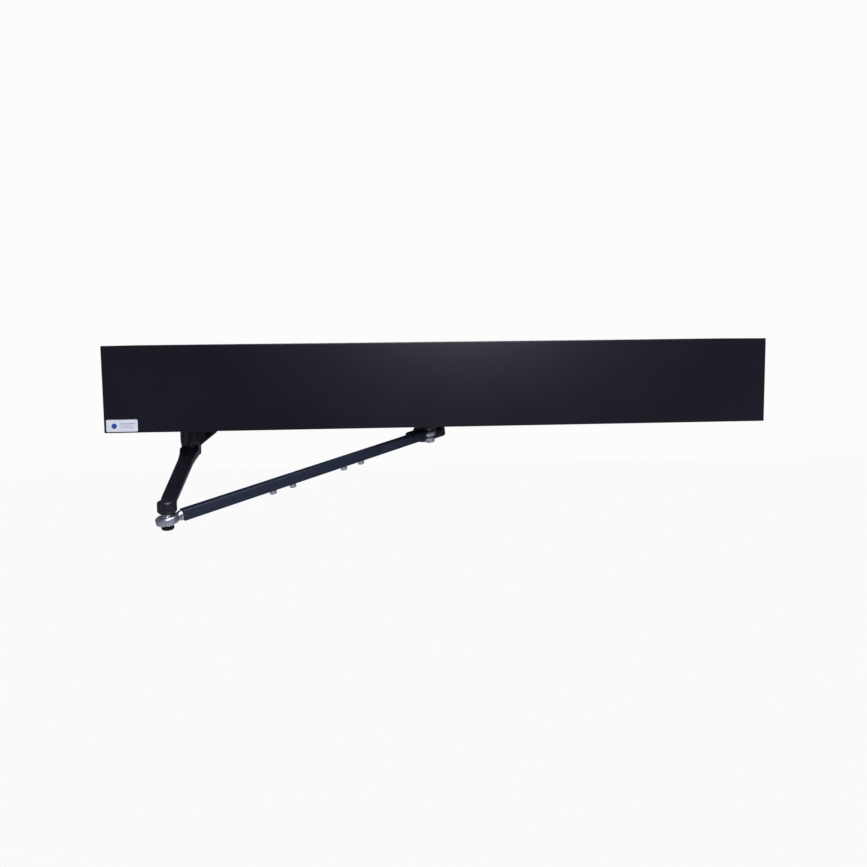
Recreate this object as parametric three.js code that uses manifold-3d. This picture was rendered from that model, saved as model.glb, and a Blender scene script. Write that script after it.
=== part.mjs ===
// Automatic swing-door operator with a push arm: a long black drive box on the door header,
// a forged main arm on its spindle, and a telescopic square rod with a ball joint at each end
// that carries the door shoe. Millimetres, +X to the right, +Y into the wall, +Z up.
// The origin is the centre of the back plate's wall face.
import * as THREE from "three";
import { mergeVertices } from "three/addons/utils/BufferGeometryUtils.js";
import Module from "manifold-3d";

const wasm = await Module();
wasm.setup();

// ---- driving dimensions -------------------------------------------------------------------
const boxLength = 914.4; // 36 in
const boxHeight = 117.5; // 4 5/8 in
const boxDepth = 130;
const coverWall = 2.5;
const coverCorner = 1.6;
const plateWall = 3;
const plateFlange = 12;
const capWall = 4;
const capInset = 4;
const gap = 0.3; // between pieces that touch
const slideGap = 0.75; // between the cover and what it slides over

const spindleInset = 96.5; // from the left end to the spindle's axis
const spindleOut = 70; // from the wall to the spindle's axis
const spindleRadius = 8;

const armLength = 224; // spindle axis to elbow axis
const armYaw = -80.7; // degrees from +X at rest
const armDrop = 56.75; // cover's underside to the top of the elbow boss
const hubRadius = 14.5;
const hubHeight = 25;
const hubClear = 3; // below the cover
const bladeRootWidth = 26.8;
const bladeNeckWidth = 21.6;
const bladeNeckAt = 60; // from the spindle axis
const bladeEndWidth = 18.6;
const bladeThick = 8;
const bossRadius = 10.7;
const bossHeight = 14.5;

const rodLength = 390; // ball centre to ball centre
const rodYaw = 36.8;
const rodTilt = 9;
const rodSquare = 12.7; // outer section
const rodWall = 2;
const channelStart = 17; // from the elbow ball
const channelEnd = 295;
const barEnd = 379.5;
const screwPlaces = [131, 159, 237, 265]; // clamp screws along the rod
const rodTravel = 20;

const elbowHead = 12.9; // rod-end head radius at the elbow
const shoeHead = 9.4; // rod-end head radius at the shoe
const headThick = 9;
const elbowBall = 8.6;
const shoeBall = 6.6;
const ballHalf = 7; // ball's half width at the elbow, its two necks included
const shoeStand = 7.4; // shoe ball's centre to the tongue
const shoeNeck = 6.2; // shoe ball's centre to its lower neck's end
const ballPlay = 0.35; // between ball and socket

const shoeBack = 14; // ball centre to the shoe plate's front
const shoeWall = 5;
const shoeLeft = 30; // ball centre to the plate's near end
const shoeRight = 43;
const shoeTop = 6;
const shoeBottom = 16;
const shoeBevelWide = 30; // the plate's lower near corner is cut off
const shoeBevelTall = 9;
const tongueThick = 3.8;
const tongueRadius = 12;

const gearModule = 2;
const outputTeeth = 38;
const pinionTeeth = 13;
const idlerTeeth = 28;
const gearWidth = 12;
const idlerWidth = 8;
const rackModule = 2;
const rackPinionTeeth = 14;
const rackWidth = 14;

const motorRadius = 28;
const motorHeight = 36;
const springTubeRadius = 22;
const springTubeLength = 150;
const springWire = 3.6;
const springTurns = 9;

// ---- derived places -----------------------------------------------------------------------
const coverBottom = -boxHeight / 2;
const coverInside = boxHeight / 2 - coverWall;
const coverFront = -boxDepth;
const spindleX = -boxLength / 2 + spindleInset;
const spindleY = -spindleOut;
const ballDrop = armDrop + bossHeight + gap + ballHalf;
const plateHalf = coverInside - slideGap;
const plateLength = boxLength - 2 * capInset - 2 * capWall - 2 * gap;

// ---- finishes -----------------------------------------------------------------------------
function finish(color, roughness, metalness) {
  return new THREE.MeshStandardMaterial({ color, roughness, metalness });
}
const blackAnodised = finish(0x26262c, 0.42, 0.5);
const blackPlastic = finish(0x1c1c20, 0.55, 0);
const blackEnamel = finish(0x17181b, 0.38, 0.1);
const zincSteel = finish(0xb9bcc0, 0.32, 1);
const blackSteel = finish(0x1a1a1c, 0.35, 0.8);
const plainSteel = finish(0x9a9da1, 0.3, 1);
const castAluminium = finish(0xa6a8aa, 0.5, 0.9);
const galvanised = finish(0x9fa4a8, 0.45, 0.9);
const boardGreen = finish(0x1d5a3a, 0.5, 0);
const terminalGreen = finish(0x2f8f4f, 0.5, 0);
const copperLacquer = finish(0x9b4a22, 0.4, 0.5);
const labelWhite = finish(0xdfe2e6, 0.5, 0.1);
const rockerRed = finish(0x8a1a16, 0.4, 0);
const bronze = finish(0x9c7a3c, 0.4, 0.9);

// ---- solids: geometry in, manifold out ----------------------------------------------------
function solid(geometry) {
  const bare = geometry.clone();
  bare.deleteAttribute("normal");
  bare.deleteAttribute("uv");
  const merged = mergeVertices(bare, 1e-3);
  return new wasm.Manifold(
    new wasm.Mesh({
      numProp: 3,
      vertProperties: merged.attributes.position.array,
      triVerts: new Uint32Array(merged.index.array),
    }),
  );
}

function geometryOf(body) {
  const mesh = body.getMesh();
  const geometry = new THREE.BufferGeometry();
  const position = new Float32Array(mesh.numVert * 3);
  for (let i = 0; i < mesh.numVert; i++)
    for (let axis = 0; axis < 3; axis++)
      position[i * 3 + axis] = mesh.vertProperties[i * mesh.numProp + axis];
  geometry.setAttribute("position", new THREE.BufferAttribute(position, 3));
  geometry.setIndex(new THREE.BufferAttribute(new Uint32Array(mesh.triVerts), 1));
  return geometry;
}

function piece(parent, name, shape, material) {
  const geometry = shape.isBufferGeometry ? shape : geometryOf(shape);
  const mesh = new THREE.Mesh(geometry, material);
  mesh.name = name;
  parent.add(mesh);
  return mesh;
}

function group(parent, x = 0, y = 0, z = 0) {
  const frame = new THREE.Group();
  frame.position.set(x, y, z);
  parent.add(frame);
  return frame;
}

function box(x0, x1, y0, y1, z0, z1) {
  const geometry = new THREE.BoxGeometry(x1 - x0, y1 - y0, z1 - z0);
  return geometry.translate((x0 + x1) / 2, (y0 + y1) / 2, (z0 + z1) / 2);
}

// A round body about an axis through (x, y, z); outline is [radius, height] pairs, low to high.
function turned(outline, segments = 32, axis = "z", x = 0, y = 0, z = 0) {
  const points = outline.map(([r, h]) => new THREE.Vector2(r, h));
  const geometry = new THREE.LatheGeometry(points, segments);
  if (axis === "z") geometry.rotateX(Math.PI / 2);
  if (axis === "x") geometry.rotateZ(-Math.PI / 2);
  return geometry.translate(x, y, z);
}

function rod(radius, low, high, segments = 24, axis = "z", x = 0, y = 0, z = 0) {
  return turned([[0, low], [radius, low], [radius, high], [0, high]], segments, axis, x, y, z);
}

function ring(inner, outer, low, high, segments = 32, axis = "z", x = 0, y = 0, z = 0) {
  const outline = [[inner, low], [outer, low], [outer, high], [inner, high], [inner, low]];
  return turned(outline, segments, axis, x, y, z);
}

// An outline in (x, y), raised from z0 to z1.
function raised(points, z0, z1) {
  const shape = new THREE.Shape(points.map(([x, y]) => new THREE.Vector2(x, y)));
  const geometry = new THREE.ExtrudeGeometry(shape, { depth: z1 - z0, bevelEnabled: false });
  return geometry.translate(0, 0, z0);
}

// An outline in (x, z), carried along y from y0 to y1.
function carried(points, y0, y1) {
  return raised(points, -y1, -y0).rotateX(Math.PI / 2);
}

// An outline in (y, z), carried along x from x0 to x1.
function swept(points, x0, x1) {
  return raised(points, x0, x1).rotateX(Math.PI / 2).rotateZ(Math.PI / 2);
}

// Points on an arc about (cx, cy), degrees.
function arc(cx, cy, radius, from, to, steps) {
  const points = [];
  for (let i = 0; i <= steps; i++) {
    const angle = THREE.MathUtils.degToRad(from + ((to - from) * i) / steps);
    points.push([cx + radius * Math.cos(angle), cy + radius * Math.sin(angle)]);
  }
  return points;
}

// ---- repeated hardware --------------------------------------------------------------------
// A cap screw standing on z = 0 with its shank down; the head has a hex socket.
function capScrew(headRadius, headHeight, shankRadius, shankLength, crown = 0.3) {
  const top = headHeight;
  const outline = [
    [0, -shankLength],
    [shankRadius, -shankLength],
    [shankRadius, 0],
    [headRadius, 0],
    [headRadius, top * (1 - crown)],
    [headRadius * 0.8, top],
    [0, top],
  ];
  const socket = rod(headRadius * 0.48, top * 0.45, top + 1, 6);
  return solid(turned(outline, 12)).subtract(solid(socket));
}

// An involute gear blank of stub teeth, centred on the origin; play is the backlash.
function gearOutline(teeth, module, play = 0.32) {
  const pitch = (teeth * module) / 2;
  const pressure = THREE.MathUtils.degToRad(20);
  const base = pitch * Math.cos(pressure);
  const tip = pitch + 0.8 * module;
  const root = pitch - 1.15 * module;
  const involute = (radius) => {
    const a = Math.acos(Math.min(1, base / radius));
    return Math.tan(a) - a;
  };
  const half = Math.PI / (2 * teeth) - play / (2 * pitch) + involute(pitch);
  const radii = [Math.max(base, root), (Math.max(base, root) + tip) / 2, tip];
  const points = [];
  for (let tooth = 0; tooth < teeth; tooth++) {
    const middle = (tooth * 2 * Math.PI) / teeth;
    const flank = radii.map((radius) => [radius, half - involute(radius)]);
    flank.unshift([root, half - involute(radii[0])]);
    const left = flank.map(([radius, offset]) => [radius, middle - offset]);
    const right = flank.map(([radius, offset]) => [radius, middle + offset]).reverse();
    for (const [radius, angle] of [...left, ...right])
      points.push([radius * Math.cos(angle), radius * Math.sin(angle)]);
  }
  return points;
}

function gear(teeth, module, bore, low, high, turn = 0) {
  const blank = raised(gearOutline(teeth, module), low, high).rotateZ(turn);
  const hole = rod(bore, low - 1, high + 1, 16);
  return solid(blank).subtract(solid(hole));
}

const part = new THREE.Group();

// ---- back plate, end caps, cover ----------------------------------------------------------
const mountHole = 3.5;
const mountRow = 36; // each side of the middle height
const mountColumns = [-boxLength / 2 + 40, -125, 95, boxLength / 2 - 40];
const cableHole = 11;
const cableHoleX = boxLength / 2 - 100;

function backPlate() {
  const half = plateLength / 2;
  let plate = solid(box(-half, half, -plateWall, 0, -plateHalf, plateHalf));
  for (const side of [-1, 1]) {
    const edge = side * plateHalf;
    const inner = edge - side * plateWall;
    const low = Math.min(edge, inner);
    plate = plate.add(solid(box(-half, half, -plateFlange, -plateWall / 2, low, low + plateWall)));
  }
  const bore = (radius, segments, x, z) =>
    solid(rod(radius, -1, plateWall + 1, segments, "y", x, -plateWall, z));
  for (const x of mountColumns)
    for (const side of [-1, 1]) plate = plate.subtract(bore(mountHole, 16, x, side * mountRow));
  return plate.subtract(bore(cableHole, 24, cableHoleX, 0));
}

function coverOutline(inset) {
  const top = boxHeight / 2 - inset;
  const front = coverFront + inset;
  const radius = Math.max(coverCorner - inset, 0.5);
  return [
    [-1, -top],
    ...arc(front + radius, -top + radius, radius, 270, 180, 4),
    ...arc(front + radius, top - radius, radius, 180, 90, 4),
    [-1, top],
  ];
}

const notchRadius = spindleRadius + 4;

function coverShell() {
  const half = boxLength / 2;
  const shell = solid(swept(coverOutline(0), -half, half));
  const inside = [[1, -coverInside], ...coverOutline(coverWall).slice(1, -1), [1, coverInside]];
  const hollow = solid(swept(inside, -half - 1, half + 1));
  const low = coverBottom - 1;
  const high = coverBottom + coverWall + 1;
  const notch = solid(box(spindleX - notchRadius, spindleX + notchRadius, spindleY, 1, low, high));
  const nose = solid(rod(notchRadius, low, high, 32, "z", spindleX, spindleY));
  return shell.subtract(hollow).subtract(notch).subtract(nose);
}

// An end cap closes the cover's section and is screwed to the back plate's end.
const capFront = coverFront + coverWall + slideGap;
const switchY = -82;
const switchWide = 14;
const switchTall = 22;
const knockoutRadius = 10;
const knockoutY = -45;

function endCap(side) {
  const outer = side * (boxLength / 2 - capInset);
  const inner = outer - side * capWall;
  const x0 = Math.min(outer, inner);
  const x1 = Math.max(outer, inner);
  const cap = solid(box(x0, x1, capFront, -gap, -plateHalf, plateHalf));
  if (side < 0) return cap;
  const wide = switchWide / 2;
  const tall = switchTall / 2;
  const window = solid(box(x0 - 1, x1 + 1, switchY - wide, switchY + wide, -tall, tall));
  const knockout = solid(rod(knockoutRadius, x0 - 1, x1 + 1, 16, "x", 0, knockoutY, 0));
  return cap.subtract(window).subtract(knockout);
}

const housing = group(part);
piece(housing, "back_plate", backPlate(), galvanised);
piece(housing, "cover", coverShell(), blackAnodised);
piece(housing, "end_cap_left", endCap(-1), blackPlastic);
piece(housing, "end_cap_right", endCap(1), blackPlastic);

// A plain silver rating label, stuck on the cover's lower left corner.
const labelWide = 41.5;
const labelTall = 16.3;
const labelThick = 0.4;
const labelInset = 3;
const labelRise = coverCorner + 0.2; // on the flat of the face
const labelX = -boxLength / 2 + labelInset;
const labelBack = coverFront - gap / 3;
const labelZ = coverBottom + labelRise;
piece(
  housing,
  "label_plate",
  box(labelX, labelX + labelWide, labelBack - labelThick, labelBack, labelZ, labelZ + labelTall),
  labelWhite,
);

// ---- power switch and knock-out plug in the right end cap ---------------------------------
const capFace = boxLength / 2 - capInset;
const bezelLip = 2;

function switchBezel() {
  const body = box(
    capFace - capWall - 6,
    capFace + gap,
    switchY - switchWide / 2 + gap,
    switchY + switchWide / 2 - gap,
    -switchTall / 2 + gap,
    switchTall / 2 - gap,
  );
  const lip = box(
    capFace + gap,
    capFace + gap + 1.2,
    switchY - switchWide / 2 - bezelLip,
    switchY + switchWide / 2 + bezelLip,
    -switchTall / 2 - bezelLip,
    switchTall / 2 + bezelLip,
  );
  const well = box(
    capFace - capWall - 3,
    capFace + 4,
    switchY - switchWide / 2 + 2,
    switchY + switchWide / 2 - 2,
    -switchTall / 2 + 2,
    switchTall / 2 - 2,
  );
  return solid(body).add(solid(lip)).subtract(solid(well));
}

const rockerPivotX = capFace - 2;
function rockerKey() {
  const wide = switchWide / 2 - 2 - gap;
  const tall = switchTall / 2 - 2.9;
  const outline = [
    [-2.6, -3],
    [1.6, -tall],
    [4.4, -tall],
    [3, 0],
    [4.4, tall],
    [1.6, tall],
    [-2.6, 3],
  ];
  return carried(outline, -wide, wide).translate(rockerPivotX, switchY, 0);
}

piece(housing, "switch_bezel", switchBezel(), blackPlastic);
piece(housing, "switch_rocker", rockerKey(), rockerRed);
piece(
  housing,
  "knockout_plug",
  turned(
    [
      [0, capFace - capWall - 2],
      [knockoutRadius - gap, capFace - capWall - 2],
      [knockoutRadius - gap, capFace + gap],
      [knockoutRadius + 1.5, capFace + gap],
      [knockoutRadius + 1.5, capFace + 1],
      [knockoutRadius, capFace + 1.8],
      [0, capFace + 1.8],
    ],
    16,
    "x",
    0,
    knockoutY,
    0,
  ),
  blackPlastic,
);

// ---- gearbox frame and its bearings -------------------------------------------------------
const baseLow = -52;
const baseHigh = -46;
const topLow = 6;
const topHigh = 12;
const frameLeft = -38; // from the spindle
const frameFront = -42;
const reduction = (gearModule * (outputTeeth + pinionTeeth)) / 2;
const motorStep = (gearModule * (idlerTeeth + pinionTeeth)) / 2;
const idlerX = spindleX + reduction;
const motorX = idlerX + motorStep;
const frameRight = motorX - spindleX + motorRadius + 6;
const bearingOuter = 14;
const bearingInner = spindleRadius + gap;
const bearingHigh = 8;
const shaftRadius = 4;
const postRadius = 5;
const postInset = 8;

function framePlate(low, high) {
  const y0 = spindleY + frameFront;
  const plate = solid(box(spindleX + frameLeft, spindleX + frameRight, y0, -plateWall - gap, low, high));
  const holes = [
    rod(bearingOuter + gap, low - 1, high + 1, 20, "z", spindleX, spindleY),
    rod(shaftRadius + gap, low - 1, high + 1, 12, "z", idlerX, spindleY),
    rod(shaftRadius + gap, low - 1, high + 1, 12, "z", motorX, spindleY),
  ];
  return holes.reduce((body, hole) => body.subtract(solid(hole)), plate);
}

piece(housing, "gearbox_base", framePlate(baseLow, baseHigh), castAluminium);
piece(housing, "gearbox_top", framePlate(topLow, topHigh), castAluminium);
const postXs = [spindleX + frameLeft + postInset, spindleX + frameRight - postInset];
const postYs = [spindleY + frameFront + postInset, -36];
for (const [i, x] of postXs.entries())
  for (const [j, y] of postYs.entries())
    piece(
      housing,
      `gearbox_post_${1 + i * 2 + j}`,
      rod(postRadius, baseHigh + gap, topLow - gap, 10, "z", x, y),
      plainSteel,
    );

const bearing = [
  [bearingInner, -bearingHigh / 2],
  [bearingOuter, -bearingHigh / 2],
  [bearingOuter, bearingHigh / 2],
  [bearingInner, bearingHigh / 2],
  [bearingInner, -bearingHigh / 2],
];
const bearingAt = (z) => turned(bearing, 20, "z", spindleX, spindleY, z);
piece(housing, "spindle_bearing_lower", bearingAt((baseLow + baseHigh) / 2), bronze);
piece(housing, "spindle_bearing_upper", bearingAt((topLow + topHigh) / 2), bronze);

// ---- spindle, gears and motor -------------------------------------------------------------
const gearLow = baseHigh + 3;
const gearHigh = gearLow + gearWidth;
const idlerLow = gearHigh + 1.5;
const idlerHigh = idlerLow + idlerWidth;
const spindleTop = topHigh + 4;
const spindleEnd = coverBottom - hubClear - hubHeight + 1;
const halfTooth = Math.PI / pinionTeeth;

const drive = group(part, spindleX, spindleY, 0);
function spindleShaft() {
  const shaft = solid(rod(spindleRadius, spindleEnd, spindleTop, 16));
  return shaft.subtract(solid(rod(shaftRadius + gap, spindleEnd - 1, spindleEnd + 20, 12)));
}
piece(drive, "spindle", spindleShaft(), plainSteel);
const gearBore = spindleRadius + gap;
piece(drive, "output_gear", gear(outputTeeth, gearModule, gearBore, gearLow, gearHigh), plainSteel);

const rackLow = idlerHigh + 4;
const rackHigh = rackLow + rackWidth;
// A gap between teeth faces the rack, which lies towards the wall.
const rackTurn = Math.PI / 2 + Math.PI / rackPinionTeeth;
piece(
  drive,
  "spring_pinion",
  gear(rackPinionTeeth, rackModule, gearBore, rackLow, rackHigh, rackTurn),
  plainSteel,
);

// A pinion with a gap between teeth facing -x, where the gear that drives it lies.
function pinion(low, high) {
  return solid(raised(gearOutline(pinionTeeth, gearModule), low, high).rotateZ(Math.PI + halfTooth));
}

function idlerGear() {
  const small = pinion(gearLow, idlerLow + 1);
  const big = solid(raised(gearOutline(idlerTeeth, gearModule), idlerLow, idlerHigh));
  const shaft = solid(rod(shaftRadius, baseLow + 1, topHigh - 1, 12));
  return small.add(big).add(shaft);
}
piece(group(part, idlerX, spindleY, 0), "intermediate_gear", idlerGear(), plainSteel);

function motorRotor() {
  const shaft = solid(rod(shaftRadius, baseLow + 1, topHigh + 6, 12));
  return pinion(idlerLow, idlerHigh).add(shaft);
}
piece(group(part, motorX, spindleY, 0), "motor_shaft", motorRotor(), plainSteel);

const motorLow = topHigh + gap;
const motorTop = motorLow + motorHeight;
piece(
  group(part, motorX, spindleY, 0),
  "motor_can",
  turned(
    [
      [shaftRadius + gap, motorLow],
      [motorRadius - 2, motorLow],
      [motorRadius, motorLow + 2],
      [motorRadius, motorTop - 2],
      [motorRadius - 2, motorTop],
      [0, motorTop],
      [0, motorLow + 10],
      [shaftRadius + gap, motorLow + 10],
      [shaftRadius + gap, motorLow],
    ],
    24,
  ),
  blackSteel,
);
piece(
  group(part, motorX, spindleY, 0),
  "motor_encoder",
  turned(
    [
      [0, motorTop + gap],
      [15, motorTop + gap],
      [15, motorTop + 4],
      [13, motorTop + 5.5],
      [0, motorTop + 5.5],
    ],
    16,
  ),
  blackPlastic,
);

// ---- closing spring: rack and rod, spring, tube -------------------------------------------
const rackPitchY = spindleY + (rackModule * rackPinionTeeth) / 2;
const rackBack = rackPitchY + 12;
const rackMiddleY = (rackPitchY + rackBack) / 2;
const rackMiddleZ = (rackLow + rackHigh) / 2;
const toothPitch = Math.PI * rackModule;
const plungerRod = 5.5;
const tubeStart = spindleX + frameRight + 4;
const tubeEnd = tubeStart + springTubeLength;
const tubeWall = 3;
const pistonX = tubeEnd - 24;
const pistonThick = 6;

function rackPlunger() {
  const reach = 0.8 * rackModule;
  const depth = 1.15 * rackModule;
  const slope = Math.tan(THREE.MathUtils.degToRad(20));
  const halfPitch = toothPitch / 4 - 0.16;
  const first = -4;
  const last = 7;
  const points = [];
  for (let tooth = first; tooth <= last; tooth++) {
    const x = spindleX + tooth * toothPitch;
    points.push([x - halfPitch - slope * depth, rackPitchY + depth]);
    points.push([x - halfPitch + slope * reach, rackPitchY - reach]);
    points.push([x + halfPitch - slope * reach, rackPitchY - reach]);
    points.push([x + halfPitch + slope * depth, rackPitchY + depth]);
  }
  const left = spindleX + first * toothPitch - toothPitch / 2;
  const right = spindleX + last * toothPitch + toothPitch / 2;
  const root = rackPitchY + depth;
  const outline = [[left, root], ...points, [right, root], [right, rackBack], [left, rackBack]];
  const bar = solid(raised(outline, rackLow + 1, rackHigh - 1));
  const along = (radius, low, high) =>
    solid(rod(radius, low, high, 20, "x", 0, rackMiddleY, rackMiddleZ));
  const shank = along(plungerRod, right - 2, pistonX + 1);
  const piston = along(springTubeRadius - tubeWall - 1, pistonX, pistonX + pistonThick);
  return bar.add(shank).add(piston);
}
piece(part, "rack_plunger", rackPlunger(), plainSteel);

function springTube() {
  const outline = [
    [plungerRod + 1, tubeStart],
    [springTubeRadius, tubeStart],
    [springTubeRadius, tubeEnd],
    [springTubeRadius - tubeWall, tubeEnd],
    [springTubeRadius - tubeWall, tubeStart + 4],
    [plungerRod + 1, tubeStart + 4],
    [plungerRod + 1, tubeStart],
  ];
  return turned(outline, 24, "x", 0, rackMiddleY, rackMiddleZ);
}
piece(housing, "spring_tube", springTube(), castAluminium);
piece(
  housing,
  "spring_tube_plug",
  turned(
    [
      [0, tubeEnd - 6],
      [springTubeRadius - tubeWall - gap, tubeEnd - 6],
      [springTubeRadius - tubeWall - gap, tubeEnd + gap],
      [springTubeRadius, tubeEnd + gap],
      [springTubeRadius, tubeEnd + 5],
      [7, tubeEnd + 5],
      [7, tubeEnd + 10],
      [0, tubeEnd + 10],
    ],
    24,
    "x",
    0,
    rackMiddleY,
    rackMiddleZ,
  ),
  castAluminium,
);

class Coil extends THREE.Curve {
  constructor(radius, length, turns) {
    super();
    this.radius = radius;
    this.length = length;
    this.turns = turns;
  }
  getPoint(t, target = new THREE.Vector3()) {
    const angle = t * this.turns * 2 * Math.PI;
    return target.set(t * this.length, this.radius * Math.cos(angle), this.radius * Math.sin(angle));
  }
}

function closingSpring() {
  const start = tubeStart + 4 + springWire / 2 + gap + 0.4;
  const length = pistonX - springWire / 2 - gap - 0.4 - start;
  const wire = arc(0, 0, springWire / 2, 0, 288, 4);
  const section = new THREE.Shape(wire.map(([x, y]) => new THREE.Vector2(x, y)));
  const coilRadius = springTubeRadius - tubeWall - springWire / 2 - 1.5;
  const path = new Coil(coilRadius, length, springTurns);
  const geometry = new THREE.ExtrudeGeometry(section, {
    steps: springTurns * 10,
    bevelEnabled: false,
    extrudePath: path,
  });
  return geometry.translate(start, rackMiddleY, rackMiddleZ);
}
piece(part, "closing_spring", closingSpring(), blackSteel);

function saddle() {
  const tall = springTubeRadius + 4;
  const x0 = (tubeStart + tubeEnd) / 2 - 12;
  const front = rackMiddleY + springTubeRadius - 8;
  const back = -plateWall - gap;
  const block = solid(box(x0, x0 + 24, front, back, rackMiddleZ - tall, rackMiddleZ + tall));
  const seat = rod(springTubeRadius + 2 * gap, x0 - 1, x0 + 25, 24, "x", 0, rackMiddleY, rackMiddleZ);
  return block.subtract(solid(seat));
}
piece(housing, "spring_tube_saddle", saddle(), castAluminium);

// ---- control electronics ------------------------------------------------------------------
const boardX = -20;
const boardWide = 190;
const boardTall = 92;
const boardThick = 1.6;
const standoff = 9;
const standoffRadius = 3.5;
const boardBack = -plateWall - gap - standoff - gap;
const boardFront = boardBack - boardThick;
const standoffX = boardWide / 2 - 6;
const standoffZ = boardTall / 2 - 6;

const boardLeft = boardX - boardWide / 2;
const boardBottom = -boardTall / 2;
piece(
  housing,
  "control_board",
  box(boardLeft, boardLeft + boardWide, boardFront, boardBack, boardBottom, boardBottom + boardTall),
  boardGreen,
);
let standoffCount = 0;
for (const x of [-standoffX, standoffX])
  for (const z of [-standoffZ, standoffZ]) {
    standoffCount += 1;
    const post = rod(standoffRadius, gap, standoff + gap, 12, "y", boardX + x, boardBack, z);
    piece(housing, `board_standoff_${standoffCount}`, post, bronze);
  }

const partsFace = boardFront - gap;
function terminalStrip() {
  const ways = 12;
  const pitch = 7.6;
  const x0 = boardX - (ways * pitch) / 2;
  const face = partsFace - 16;
  let strip = solid(box(x0, x0 + ways * pitch, face, partsFace, boardBottom + 3, boardBottom + 16));
  for (let i = 0; i < ways; i++) {
    const x = x0 + pitch * (i + 0.5);
    const way = box(x - 2.4, x + 2.4, face - 1, face + 5, boardBottom + 5, boardBottom + 13);
    strip = strip.subtract(solid(way));
  }
  return strip;
}
piece(housing, "terminal_strip", terminalStrip(), terminalGreen);
piece(housing, "relay", box(boardX - 80, boardX - 51, partsFace - 15, partsFace, 8, 22), blackPlastic);
const canOutline = [[0, 0], [10.5, 0], [10.5, 30], [9.5, 31.5], [0, 31.5]];
const canShape = turned(canOutline, 16, "y", boardX + 20, partsFace - 31.5, 20);
piece(housing, "reservoir_capacitor", canShape, blackPlastic);

function heatSink() {
  const x0 = boardX + 44;
  const fins = 7;
  const step = 6;
  const deep = 24;
  let sink = solid(box(x0, x0 + fins * step, partsFace - 4, partsFace, -6, 34));
  for (let i = 0; i < fins; i++) {
    const x = x0 + i * step + 1.5;
    sink = sink.add(solid(box(x, x + 2, partsFace - deep, partsFace - 3, -6, 34)));
  }
  return sink;
}
piece(housing, "heat_sink", heatSink(), blackAnodised);

const transformerX = 190;
const toroidOuter = 46;
const toroidInner = 16;
const toroidTall = 44;
const toroidBack = -plateWall - gap;
piece(
  housing,
  "transformer",
  turned(
    [
      [toroidInner, 4],
      [toroidInner + 4, 0],
      [toroidOuter - 6, 0],
      [toroidOuter, 6],
      [toroidOuter, toroidTall - 6],
      [toroidOuter - 6, toroidTall],
      [toroidInner + 4, toroidTall],
      [toroidInner, toroidTall - 4],
      [toroidInner, 4],
    ],
    24,
    "y",
    transformerX,
    toroidBack - toroidTall,
    0,
  ),
  copperLacquer,
);
const washerThick = 2;
const washerBack = toroidBack - toroidTall - gap;
piece(
  housing,
  "transformer_washer",
  ring(3.4, 34, 0, washerThick, 20, "y", transformerX, washerBack - washerThick, 0),
  galvanised,
);
const toroidBolt = geometryOf(capScrew(6, 6, 3, toroidTall + 2)).rotateX(Math.PI / 2);
const boltSeat = washerBack - washerThick - gap;
piece(housing, "transformer_bolt", toroidBolt.translate(transformerX, boltSeat, 0), zincSteel);

// ---- main arm: local x runs from the spindle to the elbow, z = 0 is the cover's underside -----
const arm = group(part, spindleX, spindleY, coverBottom);
arm.rotation.z = THREE.MathUtils.degToRad(armYaw);
const hubLow = -hubClear - hubHeight;
const rootLow = hubLow - 14;
const pinchRadius = 2.5;
const pinchY = 25;
const pinchZ = -12;
const lugReach = 36.5;
const lugHalf = 9;
const slotHalf = 1.5;

function armBlade() {
  const bossX = armLength - 18;
  const side = [
    [-bladeRootWidth / 2, hubLow + 1],
    [hubRadius + 4, hubLow + 1],
    ...arc(hubRadius + 5, hubLow - 15, 16, 80, 45, 4),
    [bossX, -armDrop + 1.2],
    [bossX + 6, -armDrop - 0.2],
    [armLength, -armDrop - 0.2],
    [armLength, -armDrop - bladeThick],
    [bossX, -armDrop - bladeThick],
    [hubRadius + 18, rootLow - 1],
    [hubRadius + 1, rootLow],
    [-bladeRootWidth / 2, rootLow],
  ];
  const root = bladeRootWidth / 2;
  const neck = bladeNeckWidth / 2;
  const end = bladeEndWidth / 2;
  const plan = [
    ...arc(0, 0, root, 95, 265, 8),
    [hubRadius + 8, -root],
    [bladeNeckAt, -neck],
    [armLength, -end],
    [armLength, end],
    [bladeNeckAt, neck],
    [hubRadius + 8, root],
  ];
  const profile = solid(carried(side, -root - 1, root + 1));
  return profile.intersect(solid(raised(plan, rootLow - 60, 0)));
}

function mainArm() {
  const cone = bladeRootWidth / 2;
  const hub = solid(
    turned(
      [
        [0, hubLow],
        [cone, hubLow],
        [hubRadius, hubLow + 7],
        [hubRadius, -hubClear - 1],
        [hubRadius - 1, -hubClear],
        [0, -hubClear],
      ],
      24,
    ),
  );
  const lug = solid(
    swept(
      [
        [0, -hubClear - 0.5],
        [0, hubLow + 0.5],
        [cone, hubLow + 0.5],
        [lugReach, -hubClear - 6],
        [lugReach, -hubClear - 0.5],
      ],
      -lugHalf,
      lugHalf,
    ),
  );
  const chamfer = 2.5;
  const boss = solid(
    turned(
      [
        [0, -armDrop - bossHeight],
        [bossRadius - chamfer, -armDrop - bossHeight],
        [bossRadius, -armDrop - bossHeight + chamfer],
        [bossRadius, -armDrop - 1.5],
        [bossRadius - 1.5, -armDrop],
        [0, -armDrop],
      ],
      24,
      "z",
      armLength,
    ),
  );
  const cuts = [
    rod(spindleRadius + gap, hubLow + 1 - gap, 1, 16),
    rod(shaftRadius + 2 * gap, rootLow - 1, 0, 12),
    box(-slotHalf, slotHalf, 0, lugReach + 1, hubLow + 0.5, 1),
    rod(pinchRadius + gap, -lugHalf - 1, lugHalf + 1, 12, "x", 0, pinchY, pinchZ),
    rod(shaftRadius + gap, -armDrop - bossHeight - 1, -armDrop - 4, 12, "z", armLength),
  ];
  const whole = armBlade().add(hub).add(lug).add(boss);
  return cuts.reduce((body, cut) => body.subtract(solid(cut)), whole);
}
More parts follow.
